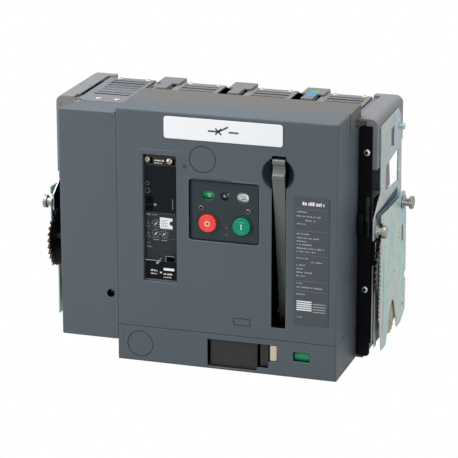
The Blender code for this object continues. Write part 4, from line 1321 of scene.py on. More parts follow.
        # Black bands and a black disc inside the sight hole: painted shade in the hole.
        outer = front_of("neutral_cover")
        well = Shape.band(
            circle(self.sight, 6.1 * MM),
            circle(self.sight, 5.3 * MM),
            Axis.Y,
            (outer - 0.06 * MM, outer + 0.2 * MM),
        )
        well += Shape.band(
            circle(self.sight, 5.4 * MM),
            circle(self.sight, 4.9 * MM),
            Axis.Y,
            (outer + 0.3 * MM, front + 3.6 * MM),
        )
        well += disc(*self.sight, 5.0 * MM, front + 3.1 * MM, front + 3.5 * MM)
        well.make("neutral_cover_well", BLACK_VOID)
        head.make("neutral_cover_screw", BRIGHT_STEEL)
        # The black six-lobed recess is painted shade in the screw's head.
        recess.make("neutral_cover_screw_recess", BLACK_VOID)

    def build(self) -> None:
        """Make every cover."""
        self.main_cover()
        self.side_covers()


@dataclass
class Plates:
    """The white name plate, left without a name, and the rating label, left without words."""

    symbol: Pair = mm(50.0, 363.3)
    symbol_size: float = 46.0 * MM
    label_left: float = 159.6 * MM
    label_right: float = 205.8 * MM

    def name_plate(self) -> None:
        """The plate with the symbol of a circuit breaker."""
        refined("nameplate", WHITE, 0.5 * MM)
        front = front_of("nameplate") - 0.08 * MM
        symbol_breaker(*self.symbol, self.symbol_size, front).make("nameplate_symbol", PRINT_DARK)

    def rating_label(self) -> None:
        """The label's title bar, rules, lines of small print and blank block."""
        refined("rating_label", LABEL_FILM, 0.25 * MM)
        front = front_of("rating_label") - 0.07 * MM
        left, right = self.label_left, self.label_right
        wide = right - left
        title = worded((left + 0.20 * wide, left + 0.90 * wide), 265.0 * MM, 5.2 * MM, 9, 3)
        marks(title, front).make("label_title", PRINT_WHITE)
        rules = [
            (left - MM, z * MM, right + MM, (z + 0.45) * MM)
            for z in (259.0, 226.5, 190.0, 151.0, 135.5)
        ]
        marks(rules, front).make("label_rules", PRINT_DIM)
        lines: list[Row] = []
        reaches = (
            (254.0, 0.02, 0.34, 5),
            (247.5, 0.02, 0.78, 11),
            (241.5, 0.30, 0.62, 4),
            (236.0, 0.02, 0.30, 5),
            (221.0, 0.02, 0.42, 6),
            (215.0, 0.02, 0.74, 11),
            (210.0, 0.02, 0.34, 5),
            (205.0, 0.02, 0.50, 7),
            (199.5, 0.02, 0.90, 12),
            (194.5, 0.02, 0.62, 8),
            (184.5, 0.02, 0.40, 6),
            (179.5, 0.50, 0.84, 5),
            (174.0, 0.02, 0.30, 4),
            (168.5, 0.02, 0.22, 3),
            (163.0, 0.02, 0.52, 7),
            (157.5, 0.02, 0.30, 4),
            (146.5, 0.02, 0.20, 3),
            (140.5, 0.02, 0.86, 13),
            (130.0, 0.02, 0.30, 4),
        )
        for seed, (z, start, stop, letters) in enumerate(reaches):
            lines += worded((left + start * wide, left + stop * wide), z * MM, 2.0 * MM, letters, seed)
        marks(lines, front).make("label_lines", PRINT_GREY)
        block = [
            (left + 1.5 * MM, z * MM, left + 0.52 * wide, (z + 1.9) * MM)
            for z in (106.0, 109.2, 112.4, 115.6, 118.8)
        ]
        fine = [
            (left + 0.56 * wide, z * MM, right - 1.0 * MM, (z + 1.3) * MM)
            for z in (104.5, 108.5, 112.5, 116.5)
        ]
        marks(block, front).make("label_block", PRINT_WHITE)
        marks(fine, front).make("label_block_lines", PRINT_GREY)
        foot = worded((left + 0.04 * wide, left + 0.2 * wide), 95.0 * MM, 2.0 * MM, 3, 41)
        marks(foot, front).make("label_foot", PRINT_GREY)

    def build(self) -> None:
        """Make both plates."""
        self.name_plate()
        self.rating_label()


class Button(Enum):
    """The push buttons and their marks."""

    OFF = "off_button"
    ON = "on_button"


@dataclass
class ControlPanel:
    """The panel with its three flags, two push buttons and sealing studs."""

    studs: tuple[Pair, ...] = (mm(15.3, 246.5), mm(86.4, 246.7))
    eyelets: tuple[Pair, ...] = (mm(53.6, 218.8), mm(53.6, 208.5))
    drum_axis: Pair = mm(-145.5, 266.4)
    drum_radius: float = 13.5 * MM
    field_half: float = 6.2 * MM

    def panel(self) -> None:
        """The panel plate, its rim and the collars round the buttons."""
        refined("control_panel", PANEL_SLATE, 0.45 * MM)
        front = front_of("control_panel")
        for button in Button:
            b_low, b_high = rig.box(button.value)
            x, z, radius = (b_low.x + b_high.x) / 2, (b_low.z + b_high.z) / 2, (b_high.x - b_low.x) / 2
            collar = [
                (front + 0.3 * MM, radius + 2.3 * MM),
                (front - 0.35 * MM, radius + 1.9 * MM),
                (front - 0.45 * MM, radius + 1.4 * MM),
                (front - 0.2 * MM, radius + 0.9 * MM),
                (front + 0.5 * MM, radius + 0.8 * MM),
            ]
            Shape.lathe(collar, Axis.Y, (x, z), 64, wrapped=True).make(button.value + "_collar", TRIP_BLACK)

    def sealing(self) -> None:
        """Two studs for a seal's wire and two eyelets, each a turned ring with a bore in painted shade."""
        front = front_of("control_panel")
        for name, places, radius in (("stud", self.studs, 3.4 * MM), ("eyelet", self.eyelets, 1.9 * MM)):
            shells, bores = [], []
            for x, z in places:
                rise = 0.35 * radius
                profile = [
                    (front + 0.2 * MM, radius),
                    (front - 0.6 * rise, radius),
                    (front - rise, 0.84 * radius),
                    (front - rise, 0.60 * radius),
                    (front - 0.5 * rise, 0.50 * radius),
                    (front + 0.2 * MM, 0.50 * radius),
                ]
                shells.append(Shape.lathe(profile, Axis.Y, (x, z), 32, wrapped=True))
                # A black disc in each bore: painted shade inside the hole.
                bores.append(disc(x, z, 0.52 * radius, front - 0.12 * MM, front + 0.1 * MM, 0))
            total(shells).make(f"sealing_{name}s", BRONZE)
            total(bores).make(f"sealing_{name}_bores", BLACK_VOID)
        x, z = self.studs[1]
        lug = plate(
            (x + 2.4 * MM, x + 6.4 * MM),
            (z - 4.0 * MM, z + 4.5 * MM),
            front - 0.9 * MM,
            front + 0.2 * MM,
            1.5 * MM,
        )
        x, z = self.studs[0]
        tail = plate(
            (x + 2.2 * MM, x + 5.4 * MM),
            (z - 4.6 * MM, z + 2.0 * MM),
            front - 0.7 * MM,
            front + 0.2 * MM,
            1.4 * MM,
        )
        (lug + tail).make("sealing_lugs", PANEL_SLATE)

    def buttons(self) -> None:
        """The buttons with their dished faces and their ring and bar marks."""
        for button, finish, tint in ((Button.OFF, RED, TINT_RED), (Button.ON, GREEN, TINT_GREEN)):
            refined(button.value, finish, 0.9 * MM, segments=3)
            low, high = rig.box(button.value)
            x, z, front = (low.x + high.x) / 2, (low.z + high.z) / 2, low.y - 0.08 * MM
            if button is Button.OFF:
                mark = ring(x, z, 4.0 * MM, 2.9 * MM, front, front + 0.15 * MM)
            else:
                mark = plate(
                    (x - 0.65 * MM, x + 0.65 * MM),
                    (z - 4.2 * MM, z + 4.2 * MM),
                    front,
                    front + 0.15 * MM,
                    0.3 * MM,
                )
            mark.make(button.value + "_mark", PRINT_WHITE, button.value)
            lines = worded((x - 4.0 * MM, x + 4.0 * MM), z + 6.6 * MM, 0.8 * MM, 5, 8)
            lines += worded((x - 4.0 * MM, x + 4.0 * MM), z - 7.6 * MM, 0.8 * MM, 5, 9)
            marks(lines, front).make(button.value + "_lines", tint, button.value)

    def on_drum(self, shape: Shape, turn: float = 0.0) -> Shape:
        """Wrap a flat mark round a flag's drum: its height becomes an arc of the same length.

        Args:
            shape: The mark, with y as its depth below the drum's surface and z from the axis.
            turn: How many degrees round the drum it sits, upwards from the front.

        Returns:
            The mark on the drum.
        """
        x, depth, height = shape.points.T
        angle = height / self.drum_radius + math.radians(turn)
        radius = self.drum_radius - depth
        y = self.drum_axis[0] - radius * np.cos(angle)
        z = self.drum_axis[1] + radius * np.sin(angle)
        return Shape(np.stack([x, y, z], axis=-1), shape.faces)

    def field(self, flag: str, turn: float) -> Shape:
        """A patch of colour nearly as wide as a flag, wrapped round its drum at a turn."""
        low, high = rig.box(flag)
        rows = np.linspace(-self.field_half, self.field_half, 16)
        left, right = low.x + 0.3 * MM, high.x - 0.3 * MM
        cells = [(left, foot, right, top) for foot, top in zip(rows[:-1], rows[1:])]
        return self.on_drum(marks(cells, -0.06 * MM, 0.2 * MM), turn)

    def flags(self) -> None:
        """What each flag shows at rest, and what turns into its window."""
        dress(FLAG_GREEN, "contact_flag")
        dress(SHUTTER_BLACK, "ready_flag")
        dress(WHITE, "spring_flag")
        out = -0.14 * MM
        low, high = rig.box("contact_flag")
        middle = (low.x + high.x) / 2
        loop = ring(middle + 1.0 * MM, -1.7 * MM, 1.7 * MM, 1.2 * MM, out, out + 0.12 * MM)
        words = marks(worded((middle - 2.2 * MM, middle + 4.2 * MM), 0.9 * MM, 0.9 * MM, 5, 4), out)
        self.on_drum(loop + words).make("contact_flag_off_mark", PRINT_WHITE, "contact_flag")
        self.field("contact_flag", 60).make("contact_flag_on_field", RED, "contact_flag")
        bar = marks([(middle - 0.6 * MM, -2.4 * MM, middle + 0.6 * MM, 2.4 * MM)], out)
        self.on_drum(bar, 60).make("contact_flag_on_mark", PRINT_WHITE, "contact_flag")
        low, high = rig.box("ready_flag")
        middle = (low.x + high.x) / 2
        slash = stroke((middle - 2.9 * MM, -2.3 * MM), (middle + 4.6 * MM, 2.9 * MM), 1.25 * MM, out)
        tick = stroke((middle - 2.6 * MM, 0.9 * MM), (middle - 0.2 * MM, -1.6 * MM), 0.9 * MM, out)
        self.on_drum(slash + tick).make("ready_flag_closed_mark", PRINT_WHITE, "ready_flag")
        self.field("ready_flag", 55).make("ready_flag_ready_field", WHITE, "ready_flag")
        rise = stroke((middle - 0.9 * MM, -2.0 * MM), (middle + 3.0 * MM, 2.4 * MM), 1.1 * MM, out)
        fall = stroke((middle - 2.6 * MM, 0.4 * MM), (middle - 0.6 * MM, -2.0 * MM), 1.1 * MM, out)
        self.on_drum(rise + fall, 55).make("ready_flag_ready_mark", PRINT_DARK, "ready_flag")
        low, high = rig.box("spring_flag")
        middle = (low.x + high.x) / 2
        rows = worded((middle - 4.8 * MM, middle + 3.6 * MM), 1.2 * MM, 0.75 * MM, 8, 6)
        rows += worded((middle - 4.2 * MM, middle + 5.2 * MM), -0.1 * MM, 0.7 * MM, 9, 7)
        coils = np.linspace(middle - 2.6 * MM, middle + 4.2 * MM, 6)
        rows += [(x, -3.4 * MM, x + 0.7 * MM, -1.3 * MM) for x in coils]
        rows += [(coils[0], -3.5 * MM, coils[-1], -3.2 * MM), (coils[0], -1.6 * MM, coils[-1], -1.3 * MM)]
        self.on_drum(marks(rows, out)).make("spring_flag_slack_mark", PRINT_DARK, "spring_flag")
        self.field("spring_flag", 55).make("spring_flag_charged_field", YELLOW, "spring_flag")
        close = [
            (middle + (i - 2) * 1.3 * MM, -1.8 * MM, middle + (i - 2) * 1.3 * MM + 0.8 * MM, 1.8 * MM)
            for i in range(5)
        ]
        self.on_drum(marks(close, out), 55).make("spring_flag_charged_mark", PRINT_DARK, "spring_flag")

    def lips(self) -> None:
        """The light arc under the windows of two flags: painted highlight on their lower rims."""
        front = front_of("control_panel")
        t = np.linspace(-2.3, -0.8, 14)
        paths = []
        for name, reach in (("contact_flag", 8.0 * MM), ("spring_flag", 8.2 * MM)):
            low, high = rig.box(name)
            x = (low.x + high.x) / 2
            rows = [
                x + reach * np.cos(t),
                np.full(t.shape, front - 0.05 * MM),
                266.4 * MM + 7.8 * MM * np.sin(t),
            ]
            paths.append(Shape.tube(np.stack(rows, axis=-1), 0.22 * MM, 8))
        # Painted highlight on the lower rims of the flag windows.
        total(paths).make("flag_window_lips", TAB_GREY)

    def build(self) -> None:
        """Make the whole panel."""
        self.panel()
        self.sealing()
        self.buttons()
        self.flags()
        self.lips()


@dataclass
class TripUnit:
    """The electronic trip unit behind its clear cover."""

    left: float = -72.6 * MM
    right: float = -23.0 * MM
    screws: tuple[Pair, ...] = (mm(-68.7, 311.2), mm(-34.4, 310.6))
    lamps: tuple[float, ...] = mm(214.9, 199.5, 184.2)

    def face(self) -> float:
        """Where the unit's face lies."""
        return front_of("trip_unit")

    def body(self) -> None:
        """The unit, its film, its screws, the recesses beside them and the screws' slots in painted shade, and its
        lower lip in painted highlight.
        """
        refined("trip_unit", TRIP_BLACK, 0.4 * MM)
        face = self.face()
        film = plate(
            (self.left + 1.2 * MM, self.right - 1.4 * MM),
            mm(160.0, 303.0),
            face - 0.05 * MM,
            face + 0.2 * MM,
            0.8 * MM,
        )
        film.make("trip_film", TRIP_FACE)
        low = plate(
            (self.left + 1.4 * MM, self.right - 1.6 * MM),
            mm(160.4, 231.0),
            face - 0.09 * MM,
            face + 0.1 * MM,
            0.8 * MM,
        )
        low.make("trip_low_film", TRIP_LOW)
        foot = plate(
            (self.left + 1.2 * MM, self.right - 1.4 * MM),
            mm(129.6, 157.2),
            face - 0.05 * MM,
            face + 0.2 * MM,
            0.8 * MM,
        )
        foot.make("trip_foot_film", TRIP_FACE)
        # A light strip along the unit's lower edge: painted highlight on the lip.
        lip = marks(
            [(self.left + 0.2 * MM, 127.9 * MM, self.right - 0.4 * MM, 129.0 * MM)],
            face - 0.7 * MM,
            0.9 * MM,
        )
        lip.make("trip_lower_lip", TAB_GREY)
        # Black plates in the recesses beside the screws: painted shade in the recesses.
        holes = [
            plate(
                (x + 1.0 * MM, x + 8.4 * MM),
                (z - 5.4 * MM, z + 3.6 * MM),
                face - 0.1 * MM,
                face + 0.1 * MM,
                1.6 * MM,
            )
            for x, z in self.screws
        ]
        total(holes).make("trip_screw_wells", BLACK_VOID)
        heads, slots = [], []
        for x, z in self.screws:
            profile = [
                (face + 0.3 * MM, 4.3 * MM),
                (face - 0.7 * MM, 4.3 * MM),
                (face - 1.1 * MM, 3.6 * MM),
                (face - 2.2 * MM, 3.3 * MM),
                (face - 2.7 * MM, 2.6 * MM),
                (face - 2.8 * MM, 0.6 * MM),
            ]
            heads.append(Shape.lathe(profile, Axis.Y, (x, z), 28))
            # A black stroke in each screw's slot: painted shade inside the slot.
            slots.append(
                stroke(
                    (x - 2.4 * MM, z - 1.4 * MM), (x + 2.4 * MM, z + 1.4 * MM), 0.7 * MM, face - 2.9 * MM
                )
            )
        total(heads).make("trip_screws", BRASS)
        total(slots).make("trip_screw_slots", BLACK_VOID)

    def display(self) -> None:
        """The upper half's print, test rings, sockets, pointer and edge scale."""
        top = self.face() - 0.14 * MM
        rows = [(-57.5, -43.0, 309.6, 2.3, 7, 11), (-57.5, -46.0, 306.0, 1.6, 6, 12)]
        marks(worded_rows(rows), top).make("trip_print_top", PRINT_WHITE)
        rings = ring(-68.5 * MM, 275.5 * MM, 2.9 * MM, 2.45 * MM, top, top + 0.2 * MM)
        rings += ring(-68.7 * MM, 264.0 * MM, 3.7 * MM, 3.3 * MM, top, top + 0.2 * MM)
        rings.make("trip_test_rings", PRINT_GREY)
        # Black plates in the test sockets: painted shade inside the openings.
        wells = plate(mm(-71.1, -60.0), mm(244.7, 255.8), top, top + 0.3 * MM, 0.5 * MM)
        wells += plate(mm(-71.1, -60.4), mm(232.9, 241.3), top, top + 0.3 * MM, 0.5 * MM)
        wells.make("trip_sockets", BLACK_VOID)
        triangle = np.array([[-58.8, 245.4], [-53.8, 244.0], [-58.0, 240.8]]) * MM
        Shape.prism(triangle, Axis.Y, (top, top + 0.15 * MM)).make("trip_pointer", PRINT_GREY)
        scale = [(-30.3 * MM, z * MM, -29.4 * MM, (z + 1.1) * MM) for z in np.arange(238.0, 253.0, 1.6)]
        marks(scale, top).make("trip_edge_scale", PRINT_GREY)

    def settings(self) -> None:
        """The white insert, the lamps with their marks, the rules and the print at the foot."""
        top = self.face() - 0.14 * MM
        t = np.linspace(math.pi / 2, 3 * math.pi / 2, 14)
        notch = np.stack([-30.2 + 4.6 * np.cos(t), 216.6 + 3.6 * np.sin(t)], axis=-1)
        corners = np.array([[-49.7, 208.0], [-30.3, 208.0]]), np.array([[-30.3, 224.2], [-49.7, 225.0]])
        outline = np.concatenate([corners[0], notch[::-1], corners[1]]) * MM
        Shape.prism(outline, Axis.Y, (top - 0.2 * MM, top + 0.2 * MM), 0.1 * MM, 2).make(
            "rating_insert", WHITE
        )
        lines = [
            (-47.6 * MM, z * MM, (-37.2 - 2.2 * (i % 2)) * MM, (z + 0.55) * MM)
            for i, z in enumerate((210.8, 213.2, 215.6, 218.0, 220.4))
        ]
        marks(lines, top - 0.3 * MM).make("rating_insert_lines", PRINT_DIM)
        spots = total([disc(-67.6 * MM, z, 1.5 * MM, top, top + 0.3 * MM) for z in self.lamps])
        spots.make("trip_lamps", PRINT_DIM)
        rows: list[Row] = []
        for seed, z in enumerate(self.lamps):
            rows += worded(mm(-70.5, -64.5), z - 5.2 * MM, 1.0 * MM, 4, 20 + seed)
        table = [
            (-70.0, -64.0, 227.0, 2.0, 3, 27),
            (-61.5, -54.0, 227.4, 1.4, 5, 28),
            (-60.0, -51.6, 189.6, 1.2, 4, 29),
            (-47.4, -39.0, 189.2, 1.2, 4, 30),
            (-70.0, -62.0, 178.0, 1.0, 5, 31),
        ]
        marks(rows + worded_rows(table), top).make("trip_small_print", PRINT_GREY)
        rules = [(-71.0 * MM, z * MM, -26.0 * MM, (z + 0.3) * MM) for z in (231.0, 206.2, 192.6)]
        marks(rules, top).make("trip_rules", PRINT_DIM)
        foot = [
            (-64.5, -54.5, 141.2, 2.6, 4, 33),
            (-64.5, -55.0, 136.6, 2.0, 5, 34),
            (-44.5, -31.5, 137.2, 2.2, 6, 35),
            (-44.5, -33.0, 132.6, 1.6, 6, 36),
            (-50.4, -47.4, 139.0, 2.6, 1, 37),
        ]
        marks(worded_rows(foot), top).make("trip_foot_print", PRINT_WHITE)
        card = plate(mm(-44.7, -28.1), mm(143.7, 147.6), top, top + 0.2 * MM, 0.4 * MM)
        card.make("rating_card", WHITE)

    def dials(self) -> None:
        """Each dial's knob, pointer and ring of ticks."""
        top = self.face() - 0.14 * MM
        ticks = []
        for index in (1, 2, 3):
            name = f"trip_dial_{index}"
            refined(name, SHUTTER_BLACK, 0.25 * MM)
            low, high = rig.box(name)
            x, z = (low.x + high.x) / 2, (low.z + high.z) / 2
            arrow = stroke(
                (x - 2.1 * MM, z - 2.1 * MM), (x + 2.6 * MM, z + 2.6 * MM), 0.9 * MM, low.y - 0.1 * MM
            )
            arrow += stroke(
                (x - 1.2 * MM, z + 1.2 * MM), (x + 1.2 * MM, z - 1.2 * MM), 0.7 * MM, low.y - 0.1 * MM
            )
            arrow.make(name + "_pointer", PRINT_WHITE, name)
            for turn in np.radians(np.arange(-130, 221, 39)):
                way = np.array([math.cos(turn), math.sin(turn)])
                here = np.array([x, z])
                ticks.append(
                    stroke(tuple(here + 5.0 * MM * way), tuple(here + 6.5 * MM * way), 0.55 * MM, top)
                )
        total(ticks).make("trip_dial_ticks", PRINT_WHITE)

    def cover(self) -> None:
        """The clear cover, its lead seal and the port beside it, the port in painted shade and the cover's edges in
        painted highlight.
        """
        dress(CLEAR, "trip_cover")
        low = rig.box("trip_cover")[0]
        # A black plate in the port: painted shade inside the opening.
        port = plate(mm(-38.7, -26.4), mm(159.6, 167.5), low.y - 0.5 * MM, low.y + 0.3 * MM, 0.7 * MM)
        port.make("seal_port", BLACK_VOID, "trip_cover")
        # Light grey lines on the clear cover's edges round the port and along a lower edge: painted highlight.
        edge = marks(
            [mm(-39.2, 167.5, -26.2, 168.1), mm(-39.3, 159.2, -38.7, 168.1)], low.y - 0.6 * MM, 0.5 * MM
        )
        edge += marks([(low.x + 0.4 * MM, 159.2 * MM, -46.5 * MM, 160.0 * MM)], low.y - 0.35 * MM, 0.4 * MM)
        edge.make("trip_cover_edges", PRINT_GREY, "trip_cover")
        t = np.linspace(-2.2, 2.2, 15)
        bead = np.stack(
            [
                np.full(t.shape, -50.6 * MM),
                low.y - 1.0 * MM + 0.3 * MM * np.cos(t),
                157.9 * MM + 3.4 * MM * np.sin(t / 2),
            ],
            axis=-1,
        )
        knot = Shape.lathe(
            [mm(-53.8, 0.4), mm(-53.2, 1.6), mm(-50.2, 1.9), mm(-49.6, 0.5)], Axis.X, (
                low.y - 1.2 * MM, 156.4 * MM
            ), 20
        )
        wire = Shape.tube(bead, 0.5 * MM, 10) + Shape.tube(
            bead + np.array([2.6 * MM, 0, 3.2 * MM]), 0.45 * MM, 10
        )
        link = np.stack(
            [
                np.linspace(-50.4, -46.4, 8) * MM,
                np.full(8, low.y - 1.1 * MM),
                np.linspace(156.6, 164.4, 8) * MM,
            ],
            axis=-1,
        )
        (knot + wire + Shape.tube(link, 0.8 * MM, 10)).make("lead_seal", BRASS, "trip_cover")

    def build(self) -> None:
        """Make the unit and its cover."""
        self.body()
        self.display()
        self.settings()
        self.dials()
        self.cover()


@dataclass
class ChargingGear:
    """The folding charging handle with its pin, ratchet and finger bowl."""

    bowl: Pair = mm(131.7, 307.0)
    bowl_radius: float = 24.0 * MM
    bowl_depth: float = 15.0 * MM
    bowl_slot: Pair = mm(122.3, 144.1)
    film: float = 0.3 * MM
    slot_low: Pair = mm(121.9, 74.1)
    slot_high: Pair = mm(144.5, 334.3)
    slot_wall: float = 1.2 * MM
    slot_reach: Pair = mm(0.5, 29.6)

    def handle(self) -> None:
        """The handle, its pin and its ratchet."""
        refined("charging_handle", HANDLE_OLIVE, 0.9 * MM, segments=3)
        dress(STEEL, "handle_pin", "charging_ratchet")

    def backing(self) -> None:
        """A black band behind the handle's slot: painted shade inside the slot."""
        low, high, wall = self.slot_low, self.slot_high, self.slot_wall
        inner = (low[0] + wall, low[1] + wall), (high[0] - wall, high[1] - wall)
        ends = (FACE_Y + self.slot_reach[0], FACE_Y + self.slot_reach[1])
        lining = Shape.band(rounded(low, high, 1.5 * MM), rounded(*inner, 1.0 * MM), Axis.Y, ends)
        lining.make("handle_slot_lining", BLACK_VOID)

    def bowl_lining(self) -> None:
        """A glossy dark sheet over the finger bowl, one dish on each side of the handle's slot; its dark colour is
        painted shade in the bowl.

        At distance d from the bowl's axis its depth is sqrt(R^2 - d^2) - (R - depth), R being
        the sphere's radius.
        """
        radius, depth = self.bowl_radius, self.bowl_depth
        sphere = (radius**2 + depth**2) / (2 * depth)
        dishes = []
        for slot, out in zip(self.bowl_slot, (-1, 1)):
            edge = abs(slot - self.bowl[0])
            reach = math.acos(edge / radius)
            turn = np.linspace(-reach, reach, 28)[:, None]
            share = np.linspace(0.0, 1.0, 14)[None, :]
            across = edge + (radius * np.cos(turn) - edge) * share
            height = np.broadcast_to(radius * np.sin(turn), across.shape)
            far = np.hypot(across, height).clip(0, radius)
            y = FACE_Y + np.sqrt(sphere**2 - far**2) - (sphere - depth) - 0.35 * MM
            x = self.bowl[0] + out * across
            front = np.stack([x, y, self.bowl[1] + height], axis=-1)
            dishes.append(Shape.sheet(front, self.film, out > 0))
        total(dishes).make("finger_bowl_lining", BOWL_GREY)

    def build(self) -> None:
        """Make the gear."""
        self.handle()
        self.backing()
        self.bowl_lining()


@dataclass
class RackingStrip:
    """The strip below the main cover: crank shutter, release lever and position flag."""

    rib_count: int = 3
    rib_pitch: float = 1.6 * MM
    band_turn: float = 56.0
    band_height: float = 0.15 * MM

    def shutter(self) -> None:
        """The shutter with its mottled face and lighter edges, part wear and part painted highlight, and the crank
        socket behind it.
        """
        refined("racking_shutter", SHUTTER_BROWN, 0.5 * MM)
        dress(STEEL, "crank_socket")
        low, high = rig.box("racking_shutter")
        grip = [
            Shape.block(
                (high.x - 6.0 * MM + i * self.rib_pitch, low.y - 0.5 * MM, low.z + 12 * MM),
                (high.x - 5.2 * MM + i * self.rib_pitch, low.y + 0.3 * MM, high.z - 10 * MM),
                0.15 * MM,
            )
            for i in range(self.rib_count)
        ]
        total(grip).make("shutter_grip_ribs", SHUTTER_BROWN, "racking_shutter")

    def lever(self) -> None:
        """The release lever, a bright plated key, the dark guide beside it, and the gap beside the guide in painted
        shade.
        """
        refined("release_lever", CREAM, 0.9 * MM, segments=3)
        guide = Shape.block(mm(104.0, -157.0, 10.3), mm(116.5, -150.0, 46.8), 0.4 * MM)
        guide.make("shutter_guide", SHUTTER_BROWN)
        # A black block in the gap beside the guide: painted shade.
        gap = Shape.block(mm(101.2, -155.0, 12.0), mm(103.6, -150.0, 46.0), 0.3 * MM)
        gap.make("shutter_guide_gap", BLACK_VOID)

    def position(self) -> None:
        """The position drum, green at rest, with its blue and red bands turned out of sight."""
        dress(FLAG_GREEN, "position_drum")
        low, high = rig.box("position_drum")
        axis = ((low.y + high.y) / 2, (low.z + high.z) / 2)
        radius = (high.z - low.z) / 2
        for name, finish, start in (("test", STRIPE_BLUE, 32.0), ("connected", RED, 92.0)):
            t = np.radians(np.linspace(start, start + self.band_turn, 15))
            way = np.stack([-np.cos(t), np.sin(t)], axis=-1)
            arcs = [np.array(axis) + r * way for r in (radius + self.band_height, radius)]
            outline = np.concatenate([arcs[0], arcs[1][::-1]])
            band = Shape.prism(outline, Axis.X, (low.x + 0.4 * MM, high.x - 0.4 * MM))
            band.make(f"position_{name}_band", finish, "position_drum")

    def build(self) -> None:
        """Make the strip."""
        self.shutter()
        self.lever()
        self.position()


# ---------------------------------------------------------------- pole housing


@dataclass
class PoleHousing:
    """The housing, the arc chutes and the quenching plates inside them."""

    louvre_count: int = 7
    louvre_half_x: float = 28.0 * MM
    louvre_y: Pair = mm(-20.0, 66.0)
    deck_top: float = 368.0 * MM
    rear_screw: float = 22.7 * MM
    front_screws: Pair = mm(-10.8, 18.5)
    quench_plates: int = 11
    quench_thick: float = 1.6 * MM
    quench_z: Pair = mm(270, 356)
    quench_half: float = 27 * MM
    quench_notch: Pair = mm(7, 34)

    def shell(self) -> None:
        """The housing of the poles."""
        refined("rear_housing", HOUSING_GREY, 0.8 * MM)

    def chute(self, index: int, pole: float) -> None:
        """One arc chute: its cover, black blades in its slots as painted shade, the ribs between its slots and its
        four screws.

        Args:
            index: The pole's number, from one.
            pole: The pole's middle.
        """
        name = f"arc_chute_{index}"
        finish = CHUTE_BLUE if index == 1 else TOP_GREY
        refined(name, finish, 0.4 * MM)
        pitch = (self.louvre_y[1] - self.louvre_y[0]) / self.louvre_count
        # Black blades set down in the louvre slots: painted shade in the slots.
        blades = []
        for row in range(self.louvre_count):
            y = self.louvre_y[0] + (row + 0.5) * pitch
            blade = Shape.block(
                (pole - self.louvre_half_x, y - 3.3 * MM, self.deck_top - 4.2 * MM),
                (pole + self.louvre_half_x - MM, y + 3.3 * MM, self.deck_top - 3.4 * MM),
                0.3 * MM,
                Axis.X,
            )
            blades.append(blade.turned(-24, Axis.X, (pole, y, self.deck_top - 3.8 * MM)))
        total(blades).make(f"{name}_blades", HOUSING_BLACK)
        lips = []
        for row in range(self.louvre_count):
            y = self.louvre_y[0] + (row + 0.5) * pitch - 4.6 * MM
            path = np.stack(
                [
                    np.linspace(pole - self.louvre_half_x - MM, pole + self.louvre_half_x, 12),
                    np.full(12, y),
                    np.full(12, self.deck_top + 0.1 * MM),
                ],
                axis=-1,
            )
            lips.append(Shape.tube(path, 0.75 * MM, 10))
        total(lips).make(f"{name}_lips", finish)
        places = [(pole - self.rear_screw, 79 * MM), (pole + self.rear_screw, 79 * MM)]
        places += [(pole + x, -49.7 * MM) for x in self.front_screws]
        heads, recesses = screws(places, Axis.Z, self.deck_top, 1, 4.3 * MM, 1.6 * MM)
        heads.make(f"{name}_screws", CREAM)
        recesses.make(f"{name}_screw_recesses", BRONZE)

    def quenching(self, index: int, pole: float) -> None:
        """The stack of steel plates in a chute, each notched over the contacts.

        Args:
            index: The pole's number, from one.
            pole: The pole's middle.
        """
        (low, high), wide, (half, tall) = self.quench_z, self.quench_half, self.quench_notch
        foot = [[-wide, low], [-half, low], [0, low + tall], [half, low], [wide, low]]
        outline = np.array(foot + [[wide, high], [-wide, high]])
        outline[:, 0] += pole
        rows = np.linspace(-18 * MM, 62 * MM, self.quench_plates)
        stack = [Shape.prism(outline, Axis.Y, (y, y + self.quench_thick)) for y in rows]
        total(stack).make(f"quench_plates_{index}", STEEL)

    def tabs(self) -> None:
        """The lighter raised tabs between the poles, and the two coloured marks on one of them."""
        outline = np.array(
            [
                [-14.2, 99],
                [-14.2, 62],
                [-6.8, 62],
                [-6.8, 30.5],
                [10.8, 30.5],
                [10.8, 62],
                [21.2, 62],
                [21.2, 99],
            ]
        ) * MM
        caps = [
            Shape.prism(outline + (barrier, 0), Axis.Z, mm(368.4, 371.2), 0.5 * MM)
            for barrier in (-115 * MM, 0.0, 115 * MM)
        ]
        total(caps).make("pole_tab_caps", TAB_GREY)
        for name, finish, start in (("green", STRIPE_GREEN, 66 * MM), ("blue", STRIPE_BLUE, 46 * MM)):
            stripe = Shape.block(
                (113.0 * MM, start, 371.0 * MM), (126.5 * MM, start + 13 * MM, 371.5 * MM), 0.2 * MM, Axis.Z
            )
            stripe.make(f"tab_stripe_{name}", finish)

    def deck(self) -> None:
        """The slot beside the first chute in painted shade, and the corner behind the neutral cover."""
        # A black slab in the slot: painted shade.
        slot = Shape.slabs([mm(-217.8, -29.0, 358.0)], [mm(-213.15, 54.0, 367.85)])
        slot.make("deck_slot", BLACK_VOID)
        corner = Shape.block(mm(-217.8, -53.8, 350.0), mm(-204.0, -50.6, 367.6), 0.5 * MM)
        corner += Shape.block(mm(-242.2, -55.9, 332.0), mm(-217.2, -54.1, 367.4), 0.4 * MM)
        corner.make("deck_corner", CAP_GREY)

    def rear_screws(self) -> None:
        """The housing's long screws, on the rear rims of the barriers."""
        places = [(x, z) for x in mm(-111.5, 3.5, 118.5) for z in mm(40, 170, 300)]
        heads, recesses = screws(places, Axis.Y, 99 * MM, 1, 4.4 * MM, 2.2 * MM)
        heads.make("barrier_screws", STEEL)
        # The black recesses are painted shade in the screws' heads.
        recesses.make("barrier_screw_recesses", BLACK_VOID)

